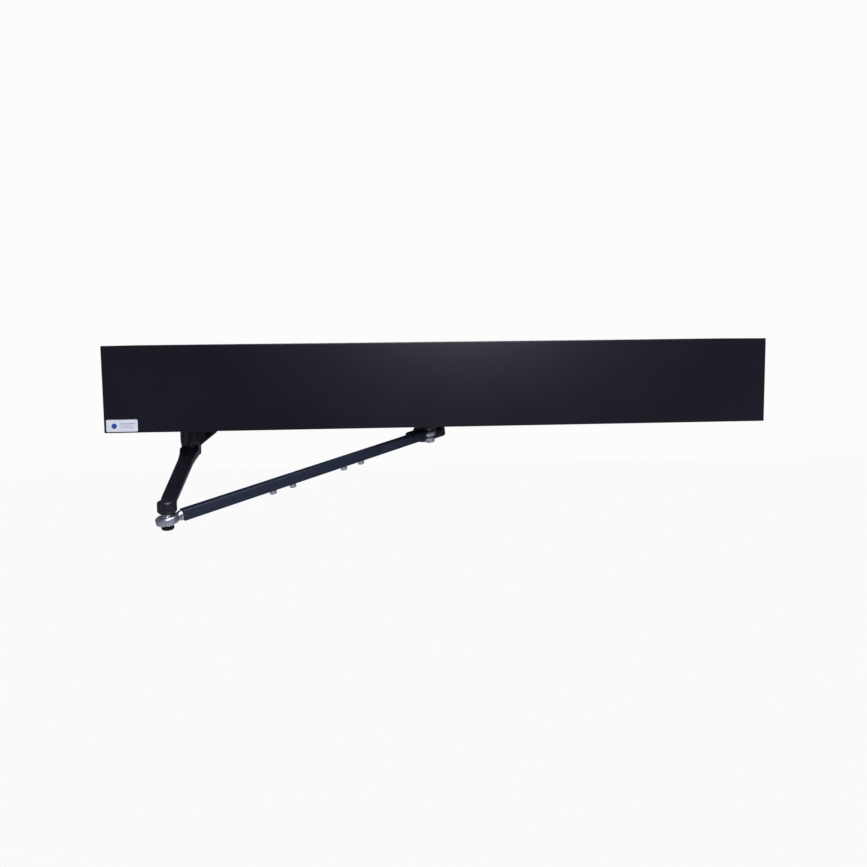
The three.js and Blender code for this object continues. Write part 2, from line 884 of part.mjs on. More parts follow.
piece(arm, "main_arm", mainArm(), blackEnamel);

const spindleBolt = geometryOf(capScrew(6.5, 5, shaftRadius - 0.1, 26)).rotateX(Math.PI);
piece(arm, "spindle_bolt", spindleBolt.translate(0, 0, rootLow - gap), blackSteel);
const pinchBolt = geometryOf(capScrew(4.2, 5, pinchRadius - 0.1, 2 * lugHalf - 1)).rotateY(Math.PI / 2);
piece(arm, "pinch_bolt", pinchBolt.translate(lugHalf + gap, pinchY, pinchZ), blackSteel);

// ---- elbow ball joint and telescopic rod: local x runs from ball to ball --------------------
const elbow = group(arm, armLength, 0, -ballDrop);
elbow.rotation.z = THREE.MathUtils.degToRad(rodYaw - armYaw);

// A ball with two short necks and a bore, on z.
function jointBall(radius, low, high, neck, bore) {
  const from = Math.acos(neck / radius);
  const to = -from;
  const steps = 6;
  const outline = [[bore, low], [neck, low]];
  for (let i = 0; i <= steps; i++) {
    const angle = to + ((from - to) * i) / steps;
    outline.push([radius * Math.cos(angle), radius * Math.sin(angle)]);
  }
  outline.push([neck, high], [bore, high], [bore, low]);
  return turned(outline, 20);
}

// A rod end: a ring round the ball, its spherical socket open above and below, and a shank.
// Between the ring and the rod's end the shank has a thicker collar.
function rodEnd(head, thick, ball, shank, shankEnd, collar, collarEnd) {
  const steps = 4;
  const socket = ball + ballPlay;
  const reach = thick / 2;
  const span = Math.asin(reach / socket);
  const outline = [];
  for (let i = 0; i <= steps; i++) {
    const angle = -span + (2 * span * i) / steps;
    outline.push([socket * Math.cos(angle), socket * Math.sin(angle)]);
  }
  const edge = 1.6;
  outline.push([head - edge, reach], [head, reach - edge], [head, -reach + edge]);
  outline.push([head - edge, -reach], outline[0]);
  const eye = solid(turned(outline.reverse(), 24));
  const stem = solid(rod(shank, socket + 0.8, shankEnd, 12, "x"));
  const thickened = solid(rod(collar, head - 1.6, collarEnd, 16, "x"));
  return eye.add(stem).add(thickened);
}

const elbowNeck = 6.4;
const elbowBallShape = jointBall(elbowBall, -ballHalf, ballHalf, elbowNeck, shaftRadius + gap);
piece(elbow, "elbow_ball", elbowBallShape, zincSteel);
const elbowScrew = geometryOf(capScrew(7, 4.5, shaftRadius - 0.1, 2 * ballHalf + bossHeight - 6, 0.6));
piece(elbow, "elbow_screw", elbowScrew.rotateX(Math.PI).translate(0, 0, -ballHalf - gap), blackSteel);

const rodFrame = group(elbow);
rodFrame.rotation.y = THREE.MathUtils.degToRad(-rodTilt);
const shankRadius = 4.7;
const shankDepth = 30;
const elbowRodEnd = rodEnd(
  elbowHead,
  headThick,
  elbowBall,
  shankRadius,
  channelStart + shankDepth,
  5.9,
  channelStart - gap,
);
piece(rodFrame, "elbow_rod_end", elbowRodEnd, zincSteel);

const half = rodSquare / 2;
const barHalf = half - rodWall - gap;
const clampShank = 2.4;
const slotGap = 0.6;

function rodChannel() {
  const tube = solid(box(channelStart, channelEnd, -half, half, -half, half));
  const solidEnd = channelStart + shankDepth + 12;
  const inner = half - rodWall;
  const hollow = solid(box(solidEnd, channelEnd + 1, -inner, inner, -inner, inner));
  const thread = solid(rod(shankRadius + gap, channelStart - 1, channelStart + shankDepth + 2, 12, "x"));
  let channel = tube.subtract(hollow).subtract(thread);
  for (let pair = 0; pair < screwPlaces.length; pair += 2) {
    const x0 = screwPlaces[pair] - clampShank - slotGap;
    const x1 = screwPlaces[pair + 1] + rodTravel + clampShank + slotGap;
    const slot = box(x0, x1, -clampShank - slotGap, clampShank + slotGap, -half - 1, -inner + 1);
    channel = channel.subtract(solid(slot));
  }
  return channel;
}
piece(rodFrame, "rod_channel", rodChannel(), blackEnamel);

const barStart = channelStart + shankDepth + 40;
const shoeShank = 4;
function rodBar() {
  const inner = solid(box(barStart, channelEnd + 1, -barHalf, barHalf, -barHalf, barHalf));
  const outer = solid(box(channelEnd + gap, barEnd, -half, half, -half, half));
  const thread = solid(rod(shoeShank + gap, barEnd - shankDepth - 2, barEnd + 1, 12, "x"));
  let bar = inner.add(outer).subtract(thread);
  for (const x of screwPlaces)
    bar = bar.subtract(solid(rod(clampShank - 0.4 + gap, -half - 1, barHalf - 1.5, 8, "z", x)));
  return bar;
}
piece(rodFrame, "rod_bar", rodBar(), blackEnamel);
for (const [i, x] of screwPlaces.entries()) {
  const screw = geometryOf(capScrew(4.3, 5, clampShank - 0.4, half + barHalf - 2.4)).rotateX(Math.PI);
  piece(rodFrame, `clamp_screw_${i + 1}`, screw.translate(x, 0, -half - gap), zincSteel);
}

// ---- shoe ball joint and door shoe --------------------------------------------------------
const shoe = group(rodFrame, rodLength, 0, 0);
const shoeEnd = rodEnd(
  shoeHead,
  headThick - 1,
  shoeBall,
  shoeShank,
  rodLength - barEnd + shankDepth,
  shoeShank + 1,
  rodLength - barEnd - gap,
);
piece(shoe, "shoe_rod_end", geometryOf(shoeEnd).rotateZ(Math.PI), zincSteel);
const shoeBore = 3;
const shoeBallNeck = 4.3;
const shoeBallShape = jointBall(shoeBall, -shoeNeck, shoeStand, shoeBallNeck, shoeBore + gap);
piece(shoe, "shoe_ball", shoeBallShape, zincSteel);

const tongueLow = shoeStand + gap;
const shoeScrewXs = [-shoeLeft + 9, shoeRight - 10];
const shoeScrewZ = -4;
const shoeHole = 2.9;
function doorShoe() {
  const back = shoeBack + shoeWall;
  const top = tongueLow + tongueThick;
  const corner = 4;
  const outline = [
    [-shoeLeft, -shoeBottom + shoeBevelTall],
    [-shoeLeft + shoeBevelWide, -shoeBottom],
    ...arc(shoeRight - corner, -shoeBottom + corner, corner, 270, 360, 4),
    ...arc(shoeRight - corner, shoeTop - corner, corner, 0, 90, 4),
    [tongueRadius + 3, shoeTop],
    [tongueRadius, shoeTop + 3],
    [tongueRadius, top],
    [-tongueRadius, top],
    [-tongueRadius, shoeTop + 3],
    [-tongueRadius - 3, shoeTop],
    ...arc(-shoeLeft + corner, shoeTop - corner, corner, 90, 180, 4),
  ];
  const plate = solid(carried(outline, shoeBack, back));
  const root = shoeBack + 1;
  const nose = [[-tongueRadius, root], ...arc(0, 0, tongueRadius, 180, 360, 16), [tongueRadius, root]];
  const tongue = solid(raised(nose, tongueLow, top));
  let body = plate.add(tongue);
  body = body.subtract(solid(rod(shoeBore, tongueLow - 1, top + 1, 12)));
  for (const x of shoeScrewXs)
    body = body.subtract(solid(rod(shoeHole, shoeBack - 1, back + 1, 12, "y", x, 0, shoeScrewZ)));
  return body;
}
piece(shoe, "door_shoe", doorShoe(), blackEnamel);
const pivotLength = shoeNeck + shoeStand + tongueThick - 0.5;
const pivotScrew = geometryOf(capScrew(7, 7.5, shoeBore - gap, pivotLength)).rotateX(Math.PI);
piece(shoe, "shoe_pivot_screw", pivotScrew.translate(0, 0, -shoeNeck - gap), zincSteel);
for (const [i, x] of shoeScrewXs.entries()) {
  const screw = geometryOf(capScrew(4.6, 2.6, shoeHole - gap, shoeWall)).rotateX(Math.PI / 2);
  piece(shoe, `shoe_screw_${i + 1}`, screw.translate(x, shoeBack - gap, shoeScrewZ), blackSteel);
}

export default part;
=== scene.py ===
import math

import bmesh
import bpy
from mathutils import Matrix, Vector


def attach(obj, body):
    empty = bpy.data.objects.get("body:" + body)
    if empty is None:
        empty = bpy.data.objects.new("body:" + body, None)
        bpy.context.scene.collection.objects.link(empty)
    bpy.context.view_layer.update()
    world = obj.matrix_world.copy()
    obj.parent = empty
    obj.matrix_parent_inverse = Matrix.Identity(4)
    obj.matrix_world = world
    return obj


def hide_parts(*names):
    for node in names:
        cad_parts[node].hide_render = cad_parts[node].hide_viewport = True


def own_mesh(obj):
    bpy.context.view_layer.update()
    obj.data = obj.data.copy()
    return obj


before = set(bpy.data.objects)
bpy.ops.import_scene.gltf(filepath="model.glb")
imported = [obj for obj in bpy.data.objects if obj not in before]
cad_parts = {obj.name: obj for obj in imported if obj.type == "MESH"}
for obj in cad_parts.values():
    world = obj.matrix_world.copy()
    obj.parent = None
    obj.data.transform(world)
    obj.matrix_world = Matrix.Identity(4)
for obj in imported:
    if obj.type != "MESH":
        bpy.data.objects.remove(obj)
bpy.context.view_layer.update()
scene = bpy.context.scene
toMetres = Matrix.Scale(0.001, 4)  # pieces are drawn in millimetres and scaled as they are settled


def linearColor(hexValue):
    channels = []
    for bits in (16, 8, 0):
        value = ((hexValue >> bits) & 255) / 255
        channels.append(value / 12.92 if value <= 0.04045 else ((value + 0.055) / 1.055) ** 2.4)
    return (*channels, 1.0)


def addNode(tree, kind, inputs=None, **settings):
    node = tree.nodes.new(kind)
    for key, value in settings.items():
        setattr(node, key, value)
    for key, value in (inputs or {}).items():
        for one in value if isinstance(value, list) else [value]:
            if isinstance(one, bpy.types.Node):  # a node stands for its first output
                one = one.outputs[0]
            if isinstance(one, bpy.types.NodeSocket):
                tree.links.new(one, node.inputs[key])
            else:
                node.inputs[key].default_value = one
    return node


camera = {
    "place": (-64.55, -1062.61, 63.25),
    "yaw": -0.0557,
    "pitch": -0.0782,
    "roll": 0.0116,
    "lens": 28.235,
    "shift": -0.0478,
}


def makeCamera():
    data = bpy.data.cameras.new("camera")
    data.sensor_width = 36
    data.lens = camera["lens"]
    data.shift_y = camera["shift"]
    data.clip_end = 60
    holder = bpy.data.objects.new("camera", data)
    scene.collection.objects.link(holder)
    turn = (
        Matrix.Rotation(camera["yaw"], 4, "Z")
        @ Matrix.Rotation(camera["pitch"], 4, "X")
        @ Matrix.Rotation(camera["roll"], 4, "Y")
        @ Matrix.Rotation(math.pi / 2, 4, "X")
    )
    holder.matrix_world = Matrix.Translation(Vector(camera["place"]) * 0.001) @ turn
    scene.camera = holder


room = {
    "floorDrop": -0.62,
    "floorHalf": 2.6,
    "backdrop": 0xFCFCFC,
    "ambient": 0xC6C8E4,
    "ambientPower": 0.2,
    "lamps": [  # name, place, aim, width, height, power, colour
        ("topSoftbox", (0.05, -0.55, 1.5), (0.0, -0.1, 0.0), 1.3, 0.7, 20, 0xF4F6FF),
        ("frontSoftbox", (0.25, -1.7, 0.75), (0.05, 0.0, 0.0), 0.5, 0.4, 20, 0xEEEFFF),
        ("leftStrip", (-1.5, -1.3, -0.3), (-0.33, -0.2, -0.12), 0.35, 1.0, 0.7, 0xF4F4FF),
        ("rightStrip", (1.7, -1.1, -0.3), (-0.2, -0.2, -0.1), 0.4, 1.0, 0.6, 0xF4F4FF),
        ("backFill", (0.2, 1.7, 0.9), (0.0, 0.0, 0.0), 1.6, 1.0, 12, 0xFFFFFF),
    ],
}


def seenAndFelt(tree, seen, felt, output):  # one shader for the camera, a quieter one for the light it gives
    ray = addNode(tree, "ShaderNodeLightPath")
    mixed = addNode(tree, "ShaderNodeMixShader",
                    {0: ray.outputs["Is Camera Ray"], 1: felt, 2: seen})
    addNode(tree, output, {"Surface": mixed})


def makeRoom():
    world = bpy.data.worlds.new("room")
    scene.world = world
    world.use_nodes = True
    tree = world.node_tree
    tree.nodes.clear()
    seen = addNode(tree, "ShaderNodeBackground", {"Color": linearColor(room["backdrop"]), "Strength": 1.0})
    around = addNode(tree, "ShaderNodeBackground",
                     {"Color": linearColor(room["ambient"]), "Strength": room["ambientPower"]})
    seenAndFelt(tree, seen, around, "ShaderNodeOutputWorld")

    half = room["floorHalf"]
    drop = room["floorDrop"]
    mesh = bpy.data.meshes.new("floor")
    corners = [(-half, -half, drop), (half, -half, drop), (half, half, drop), (-half, half, drop)]
    mesh.from_pydata(corners, [], [(0, 1, 2, 3)])
    floor = asObject(mesh)
    paper = bpy.data.materials.new("seamlessPaper")  # white studio paper, burnt out to the backdrop's white
    paper.use_nodes = True
    nodes = paper.node_tree
    nodes.nodes.clear()
    white = addNode(nodes, "ShaderNodeEmission", {"Color": linearColor(0xFAFAFB), "Strength": 1.0})
    matt = addNode(nodes, "ShaderNodeBsdfDiffuse", {"Color": linearColor(0xC8C8CC)})
    seenAndFelt(nodes, white, matt, "ShaderNodeOutputMaterial")
    mesh.materials.append(paper)

    for name, place, aim, width, height, power, colour in room["lamps"]:
        data = bpy.data.lights.new(name, "AREA")
        data.shape = "RECTANGLE"
        data.size = width
        data.size_y = height
        data.energy = power
        data.color = linearColor(colour)[:3]
        lamp = bpy.data.objects.new(name, data)
        scene.collection.objects.link(lamp)
        lamp.location = place
        lamp.rotation_mode = "QUATERNION"
        lamp.rotation_quaternion = (Vector(aim) - Vector(place)).to_track_quat("-Z", "Y")
    scene.view_settings.view_transform = "Standard"
    print("camera, room and lamps ready")


def asObject(mesh):
    made = bpy.data.objects.new(mesh.name, mesh)
    scene.collection.objects.link(made)
    return made


def meshOf(points, faces):
    mesh = bpy.data.meshes.new("shape")
    mesh.from_pydata([tuple(p) for p in points], [], faces)
    work = bmesh.new()
    work.from_mesh(mesh)
    bmesh.ops.remove_doubles(work, verts=work.verts, dist=1e-4)
    bmesh.ops.recalc_face_normals(work, faces=work.faces)
    work.to_mesh(mesh)
    work.free()
    return asObject(mesh)


def flattened(made):  # the modifiers become plain mesh
    bpy.context.view_layer.update()
    graph = bpy.context.evaluated_depsgraph_get()
    mesh = bpy.data.meshes.new_from_object(made.evaluated_get(graph))
    made.modifiers.clear()
    made.data = mesh
    return made


def arcPoints(cx, cy, radius, start, end, steps):
    points = []
    for i in range(steps + 1):
        angle = math.radians(start + (end - start) * i / steps)
        points.append((cx + radius * math.cos(angle), cy + radius * math.sin(angle)))
    return points


def roundedBox(wide, tall, radius, steps=6, cx=0.0, cy=0.0):
    x = wide / 2 - radius
    y = tall / 2 - radius
    points = []
    for px, py, start in ((x, y, 0), (-x, y, 90), (-x, -y, 180), (x, -y, 270)):
        points += arcPoints(cx + px, cy + py, radius, start, start + 90, steps)
    return points


def raised(outline, low, high):  # an outline in x, y carried up z
    count = len(outline)
    points = [(x, y, low) for x, y in outline] + [(x, y, high) for x, y in outline]
    faces = [tuple(range(count))[::-1], tuple(range(count, 2 * count))]
    faces += [(i, (i + 1) % count, (i + 1) % count + count, i + count) for i in range(count)]
    return meshOf(points, faces)


def block(x0, x1, y0, y1, z0, z1):
    return raised([(x0, y0), (x1, y0), (x1, y1), (x0, y1)], z0, z1)


def turned(outline, steps=64):  # outline is radius, height pairs; a loop if it never meets the axis
    solidCore = outline[0][0] == 0 and outline[-1][0] == 0
    points = []
    for r, h in outline:
        for i in range(steps):
            angle = 2 * math.pi * i / steps
            points.append((r * math.cos(angle), r * math.sin(angle), h))
    rows = len(outline)
    faces = []
    for j in range(rows - 1 if solidCore else rows):
        k = (j + 1) % rows
        for i in range(steps):
            n = (i + 1) % steps
            faces.append((j * steps + i, j * steps + n, k * steps + n, k * steps + i))
    return meshOf(points, faces)


def lofted(rings):  # rings of as many points each, joined in turn and capped at both ends
    count = len(rings[0])
    last = (len(rings) - 1) * count
    faces = [tuple(range(count)), tuple(range(last, last + count))]
    for start in range(0, last, count):
        for i in range(count):
            n = (i + 1) % count
            faces.append((start + i, start + n, start + count + n, start + count + i))
    return meshOf([p for ring in rings for p in ring], faces)


def rounded(outline, radius, steps=3):  # softens the corners of an open or closed list of points
    soft = [outline[0]]
    for before, here, after in zip(outline, outline[1:], outline[2:]):
        a = Vector(before) - Vector(here)
        b = Vector(after) - Vector(here)
        reach = min(radius, a.length * 0.45, b.length * 0.45)
        start = Vector(here) + a.normalized() * reach
        end = Vector(here) + b.normalized() * reach
        for i in range(steps + 1):
            t = i / steps
            blend = start.lerp(Vector(here), t).lerp(Vector(here).lerp(end, t), t)
            soft.append((blend.x, blend.y))
    soft.append(outline[-1])
    return soft


def combined(target, others, how="DIFFERENCE"):
    for other in others:
        step = target.modifiers.new("cut", "BOOLEAN")
        step.operation = how
        step.solver = "EXACT"
        step.object = other
        flattened(target)
        bpy.data.objects.remove(other)
    return target


def eased(target, width, segments=2, angle=32):  # the small radius that every made edge has
    step = target.modifiers.new("edges", "BEVEL")
    step.width = width
    step.segments = segments
    step.limit_method = "ANGLE"
    step.angle_limit = math.radians(angle)
    step.use_clamp_overlap = True
    step.harden_normals = False
    return flattened(target)


def moved(target, matrix):
    target.data.transform(matrix)
    if matrix.determinant() < 0:
        target.data.flip_normals()
    return target


def cleaned(target, angle=1.0):  # joins coplanar triangles so that edges ease evenly
    work = bmesh.new()
    work.from_mesh(target.data)
    bmesh.ops.remove_doubles(work, verts=work.verts, dist=1e-3)
    bmesh.ops.dissolve_limit(work, angle_limit=math.radians(angle), verts=work.verts, edges=work.edges)
    work.to_mesh(target.data)
    work.free()
    return target


def copied(node):  # a CAD node's own shape in millimetres
    made = asObject(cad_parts[node].data.copy())
    made.data.materials.clear()
    made.data.transform(Matrix.Scale(1000, 4))
    return cleaned(made)


def joined(parts):
    work = bmesh.new()
    for part in parts:
        work.from_mesh(part.data)
    mesh = bpy.data.meshes.new("shape")
    work.to_mesh(mesh)
    work.free()
    for part in parts:
        bpy.data.objects.remove(part)
    return asObject(mesh)


def settled(made, name, body, kind, nodes=(), matrix=None, angle=34):  # into its place, in metres
    material, slot = finish[kind]
    if matrix is not None:
        moved(made, matrix)
    made.data.transform(toMetres)
    made.name = name
    made.data.name = name
    made.data.materials.clear()
    made.data.materials.append(material)
    made.data.shade_smooth()
    made.data.set_sharp_from_angle(angle=math.radians(angle))
    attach(made, body)
    if nodes:
        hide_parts(*nodes)
    return made


def shift(x, y, z):
    return Matrix.Translation((x, y, z))


alongX = Matrix.Rotation(math.pi / 2, 4, "Y")  # turns an upright solid to lie on x
alongY = Matrix.Rotation(-math.pi / 2, 4, "X")
headDown = Matrix.Rotation(math.pi, 4, "X")
outlineOnYz = Matrix(((0, 0, 1, 0), (1, 0, 0, 0), (0, 1, 0, 0), (0, 0, 0, 1)))  # its height then lies on x
outlineOnXz = Matrix(((1, 0, 0, 0), (0, 0, 1, 0), (0, 1, 0, 0), (0, 0, 0, 1)))  # its height then lies on y


def newTree(name, inputs):
    tree = bpy.data.node_groups.new(name, "GeometryNodeTree")
    for label, kind, start in inputs:
        item = tree.interface.new_socket(name=label, in_out="INPUT", socket_type="NodeSocket" + kind)
        if start is not None:
            item.default_value = start
    tree.interface.new_socket(name="Geometry", in_out="OUTPUT", socket_type="NodeSocketGeometry")
    return tree, addNode(tree, "NodeGroupInput").outputs


def endTree(tree, geometry, material):
    real = addNode(tree, "GeometryNodeRealizeInstances", {"Geometry": geometry})
    painted = addNode(tree, "GeometryNodeSetMaterial", {"Geometry": real, "Material": material})
    addNode(tree, "NodeGroupOutput", {0: painted})
    return tree


def grown(tree, kind, **values):
    holder = asObject(bpy.data.meshes.new("shape"))
    step = holder.modifiers.new("grow", "NODES")
    step.node_group = tree
    sockets = {i.name: i.identifier for i in tree.interface.items_tree if i.in_out == "INPUT"}
    for label, value in {**values, "material": finish[kind][0]}.items():
        step[sockets[label]] = value
    flattened(holder)
    holder.data.materials.clear()
    return holder


def makeRepeatTree():  # one shape in rows and columns, turned about z by a step each time
    tree, given = newTree("rowsOfPieces", [
        ("shape", "Object", None), ("count", "Int", 4), ("step", "Vector", (10, 0, 0)),
        ("rows", "Int", 1), ("rowStep", "Vector", (0, 10, 0)), ("turn", "Float", 0.0),
        ("material", "Material", None)])
    line = addNode(tree, "GeometryNodeMeshLine", {"Count": given["count"], "Offset": given["step"]})
    rows = addNode(tree, "GeometryNodeMeshLine", {"Count": given["rows"], "Offset": given["rowStep"]})
    grid = addNode(tree, "GeometryNodeInstanceOnPoints",
                   {"Points": rows, "Instance": line})
    spots = addNode(tree, "GeometryNodeRealizeInstances", {"Geometry": grid})
    index = addNode(tree, "GeometryNodeInputIndex")
    turn = addNode(tree, "ShaderNodeMath", {0: index, 1: given["turn"]}, operation="MULTIPLY")
    spin = addNode(tree, "ShaderNodeCombineXYZ", {"Z": turn})
    euler = addNode(tree, "FunctionNodeEulerToRotation", {0: spin})
    shape = addNode(tree, "GeometryNodeObjectInfo", {"Object": given["shape"]})
    placed = addNode(tree, "GeometryNodeInstanceOnPoints", {
        "Points": spots, "Instance": shape.outputs["Geometry"], "Rotation": euler})
    return endTree(tree, placed, given["material"])


repeatTree = makeRepeatTree()


def repeated(shape, kind, tree=repeatTree, **values):
    made = grown(tree, kind, shape=shape, **values)
    bpy.data.objects.remove(shape)
    return made


def makeGearTree():  # teeth rise and fall round a disc, sixteen points to a tooth
    tree, given = newTree("gearWheel", [
        ("teeth", "Int", 20), ("module", "Float", 2.0), ("width", "Float", 10.0),
        ("turn", "Float", 0.0), ("material", "Material", None)])
    perTooth = 16
    count = addNode(tree, "ShaderNodeMath", {0: given["teeth"], 1: perTooth}, operation="MULTIPLY")
    ring = addNode(tree, "GeometryNodeMeshCircle", {"Vertices": count, "Radius": 1.0},
                   fill_type="NGON")
    index = addNode(tree, "GeometryNodeInputIndex")
    phase = addNode(tree, "ShaderNodeMath", {0: index, 1: 2 * math.pi / perTooth},
                    operation="MULTIPLY")
    wave = addNode(tree, "ShaderNodeMath", {0: phase}, operation="COSINE")
    steep = addNode(tree, "ShaderNodeMath", {0: wave, 1: 1.15, 2: 0.42},
                    operation="MULTIPLY_ADD", use_clamp=True)
    pitch = addNode(tree, "ShaderNodeMath", {0: given["teeth"], 1: given["module"]}, operation="MULTIPLY")
    half = addNode(tree, "ShaderNodeMath", {0: pitch, 1: 0.5}, operation="MULTIPLY")
    root = addNode(tree, "ShaderNodeMath", {0: given["module"], 1: -1.15, 2: half},
                   operation="MULTIPLY_ADD")
    rise = addNode(tree, "ShaderNodeMath", {0: given["module"], 1: 1.9}, operation="MULTIPLY")
    radius = addNode(tree, "ShaderNodeMath",
                     {0: steep, 1: rise, 2: root},
                     operation="MULTIPLY_ADD")
    place = addNode(tree, "GeometryNodeInputPosition")
    grownPlace = addNode(tree, "ShaderNodeVectorMath",
                         {0: place, "Scale": radius}, operation="SCALE")
    disc = addNode(tree, "GeometryNodeSetPosition",
                   {"Geometry": ring.outputs["Mesh"], "Position": grownPlace})
    up = addNode(tree, "ShaderNodeCombineXYZ", {"Z": given["width"]})
    tall = addNode(tree, "GeometryNodeExtrudeMesh",
                   {"Mesh": disc, "Offset": up, "Offset Scale": 1.0,
                    "Individual": False})
    under = addNode(tree, "GeometryNodeFlipFaces", {"Mesh": disc})
    closed = addNode(tree, "GeometryNodeJoinGeometry", {0: [tall, under]})
    welded = addNode(tree, "GeometryNodeMergeByDistance", {"Geometry": closed})
    spin = addNode(tree, "ShaderNodeCombineXYZ", {"Z": given["turn"]})
    euler = addNode(tree, "FunctionNodeEulerToRotation", {0: spin})
    spun = addNode(tree, "GeometryNodeTransform",
                   {"Geometry": welded, "Rotation": euler})
    return endTree(tree, spun, given["material"])


gearTree = makeGearTree()


def makeCoilTree():
    tree, given = newTree("springCoil", [
        ("turns", "Float", 9.0), ("radius", "Float", 15.0), ("length", "Float", 117.0),
        ("wire", "Float", 1.8), ("material", "Material", None)])
    path = addNode(tree, "GeometryNodeCurveSpiral", {
        "Resolution": 40, "Rotations": given["turns"], "Start Radius": given["radius"],
        "End Radius": given["radius"], "Height": given["length"]})
    section = addNode(tree, "GeometryNodeCurvePrimitiveCircle",
                      {"Resolution": 14, "Radius": given["wire"]})
    wire = addNode(tree, "GeometryNodeCurveToMesh", {
        "Curve": path, "Profile Curve": section, "Fill Caps": True})
    return endTree(tree, wire, given["material"])


coilTree = makeCoilTree()


def makeWindingTree():  # flat turns of tape wrapped round a ring core, each lapping the next
    tree, given = newTree("tapeWinding", [
        ("turns", "Int", 90), ("meanRadius", "Float", 31.0), ("build", "Float", 29.0),
        ("height", "Float", 43.0), ("corner", "Float", 6.0), ("tapeWidth", "Float", 3.0),
        ("lean", "Float", 0.1), ("material", "Material", None)])
    loop = addNode(tree, "GeometryNodeCurvePrimitiveQuadrilateral",
                   {"Width": given["build"], "Height": given["height"]})
    soft = addNode(tree, "GeometryNodeFilletCurve",
                   {"Curve": loop, "Radius": given["corner"], "Count": 5}, mode="POLY")
    strip = addNode(tree, "GeometryNodeCurvePrimitiveQuadrilateral",
                    {"Width": 0.5, "Height": given["tapeWidth"]})
    turn = addNode(tree, "GeometryNodeCurveToMesh", {
        "Curve": soft, "Profile Curve": strip, "Fill Caps": False})
    upright = addNode(tree, "FunctionNodeEulerToRotation", {0: (math.pi / 2, 0.0, 0.0)})
    out = addNode(tree, "ShaderNodeCombineXYZ", {"X": given["meanRadius"]})
    stood = addNode(tree, "GeometryNodeTransform", {
        "Geometry": turn, "Rotation": upright, "Translation": out})
    spots = addNode(tree, "GeometryNodeMeshLine", {"Count": given["turns"], "Offset": (0, 0, 0)})
    index = addNode(tree, "GeometryNodeInputIndex")
    share = addNode(tree, "ShaderNodeMath", {0: index, 1: given["turns"]}, operation="DIVIDE")
    angle = addNode(tree, "ShaderNodeMath", {0: share, 1: 2 * math.pi}, operation="MULTIPLY")
    spin = addNode(tree, "ShaderNodeCombineXYZ", {"X": given["lean"], "Z": angle})
    euler = addNode(tree, "FunctionNodeEulerToRotation", {0: spin})
    wound = addNode(tree, "GeometryNodeInstanceOnPoints", {
        "Points": spots, "Instance": stood, "Rotation": euler})
    return endTree(tree, wound, given["material"])


windingTree = makeWindingTree()


def makeChipTree():  # small parts strewn on a board's grid by a fixed seed
    tree, given = newTree("boardChips", [
        ("columns", "Int", 12), ("rows", "Int", 5), ("step", "Float", 7.0), ("seed", "Int", 4),
        ("share", "Float", 0.6), ("shape", "Object", None), ("material", "Material", None)])
    across = addNode(tree, "ShaderNodeMath", {0: given["columns"], 1: given["step"]}, operation="MULTIPLY")
    along = addNode(tree, "ShaderNodeMath", {0: given["rows"], 1: given["step"]}, operation="MULTIPLY")
    grid = addNode(tree, "GeometryNodeMeshGrid", {
        "Vertices X": given["columns"], "Vertices Y": given["rows"], "Size X": across, "Size Y": along})
    kept = addNode(tree, "FunctionNodeRandomValue",
                   {"Probability": given["share"], "Seed": given["seed"]}, data_type="BOOLEAN")
    quarter = addNode(tree, "FunctionNodeRandomValue",
                      {4: 0, 5: 3, "Seed": given["seed"]}, data_type="INT")
    turn = addNode(tree, "ShaderNodeMath", {0: quarter.outputs[2], 1: math.pi / 2}, operation="MULTIPLY")
    spin = addNode(tree, "ShaderNodeCombineXYZ", {"Z": turn})
    euler = addNode(tree, "FunctionNodeEulerToRotation", {0: spin})
    shape = addNode(tree, "GeometryNodeObjectInfo", {"Object": given["shape"]})
    strewn = addNode(tree, "GeometryNodeInstanceOnPoints", {
        "Points": grid, "Selection": kept.outputs[3],
        "Instance": shape.outputs["Geometry"], "Rotation": euler})
    return endTree(tree, strewn, given["material"])


chipTree = makeChipTree()
print("geometry trees ready")


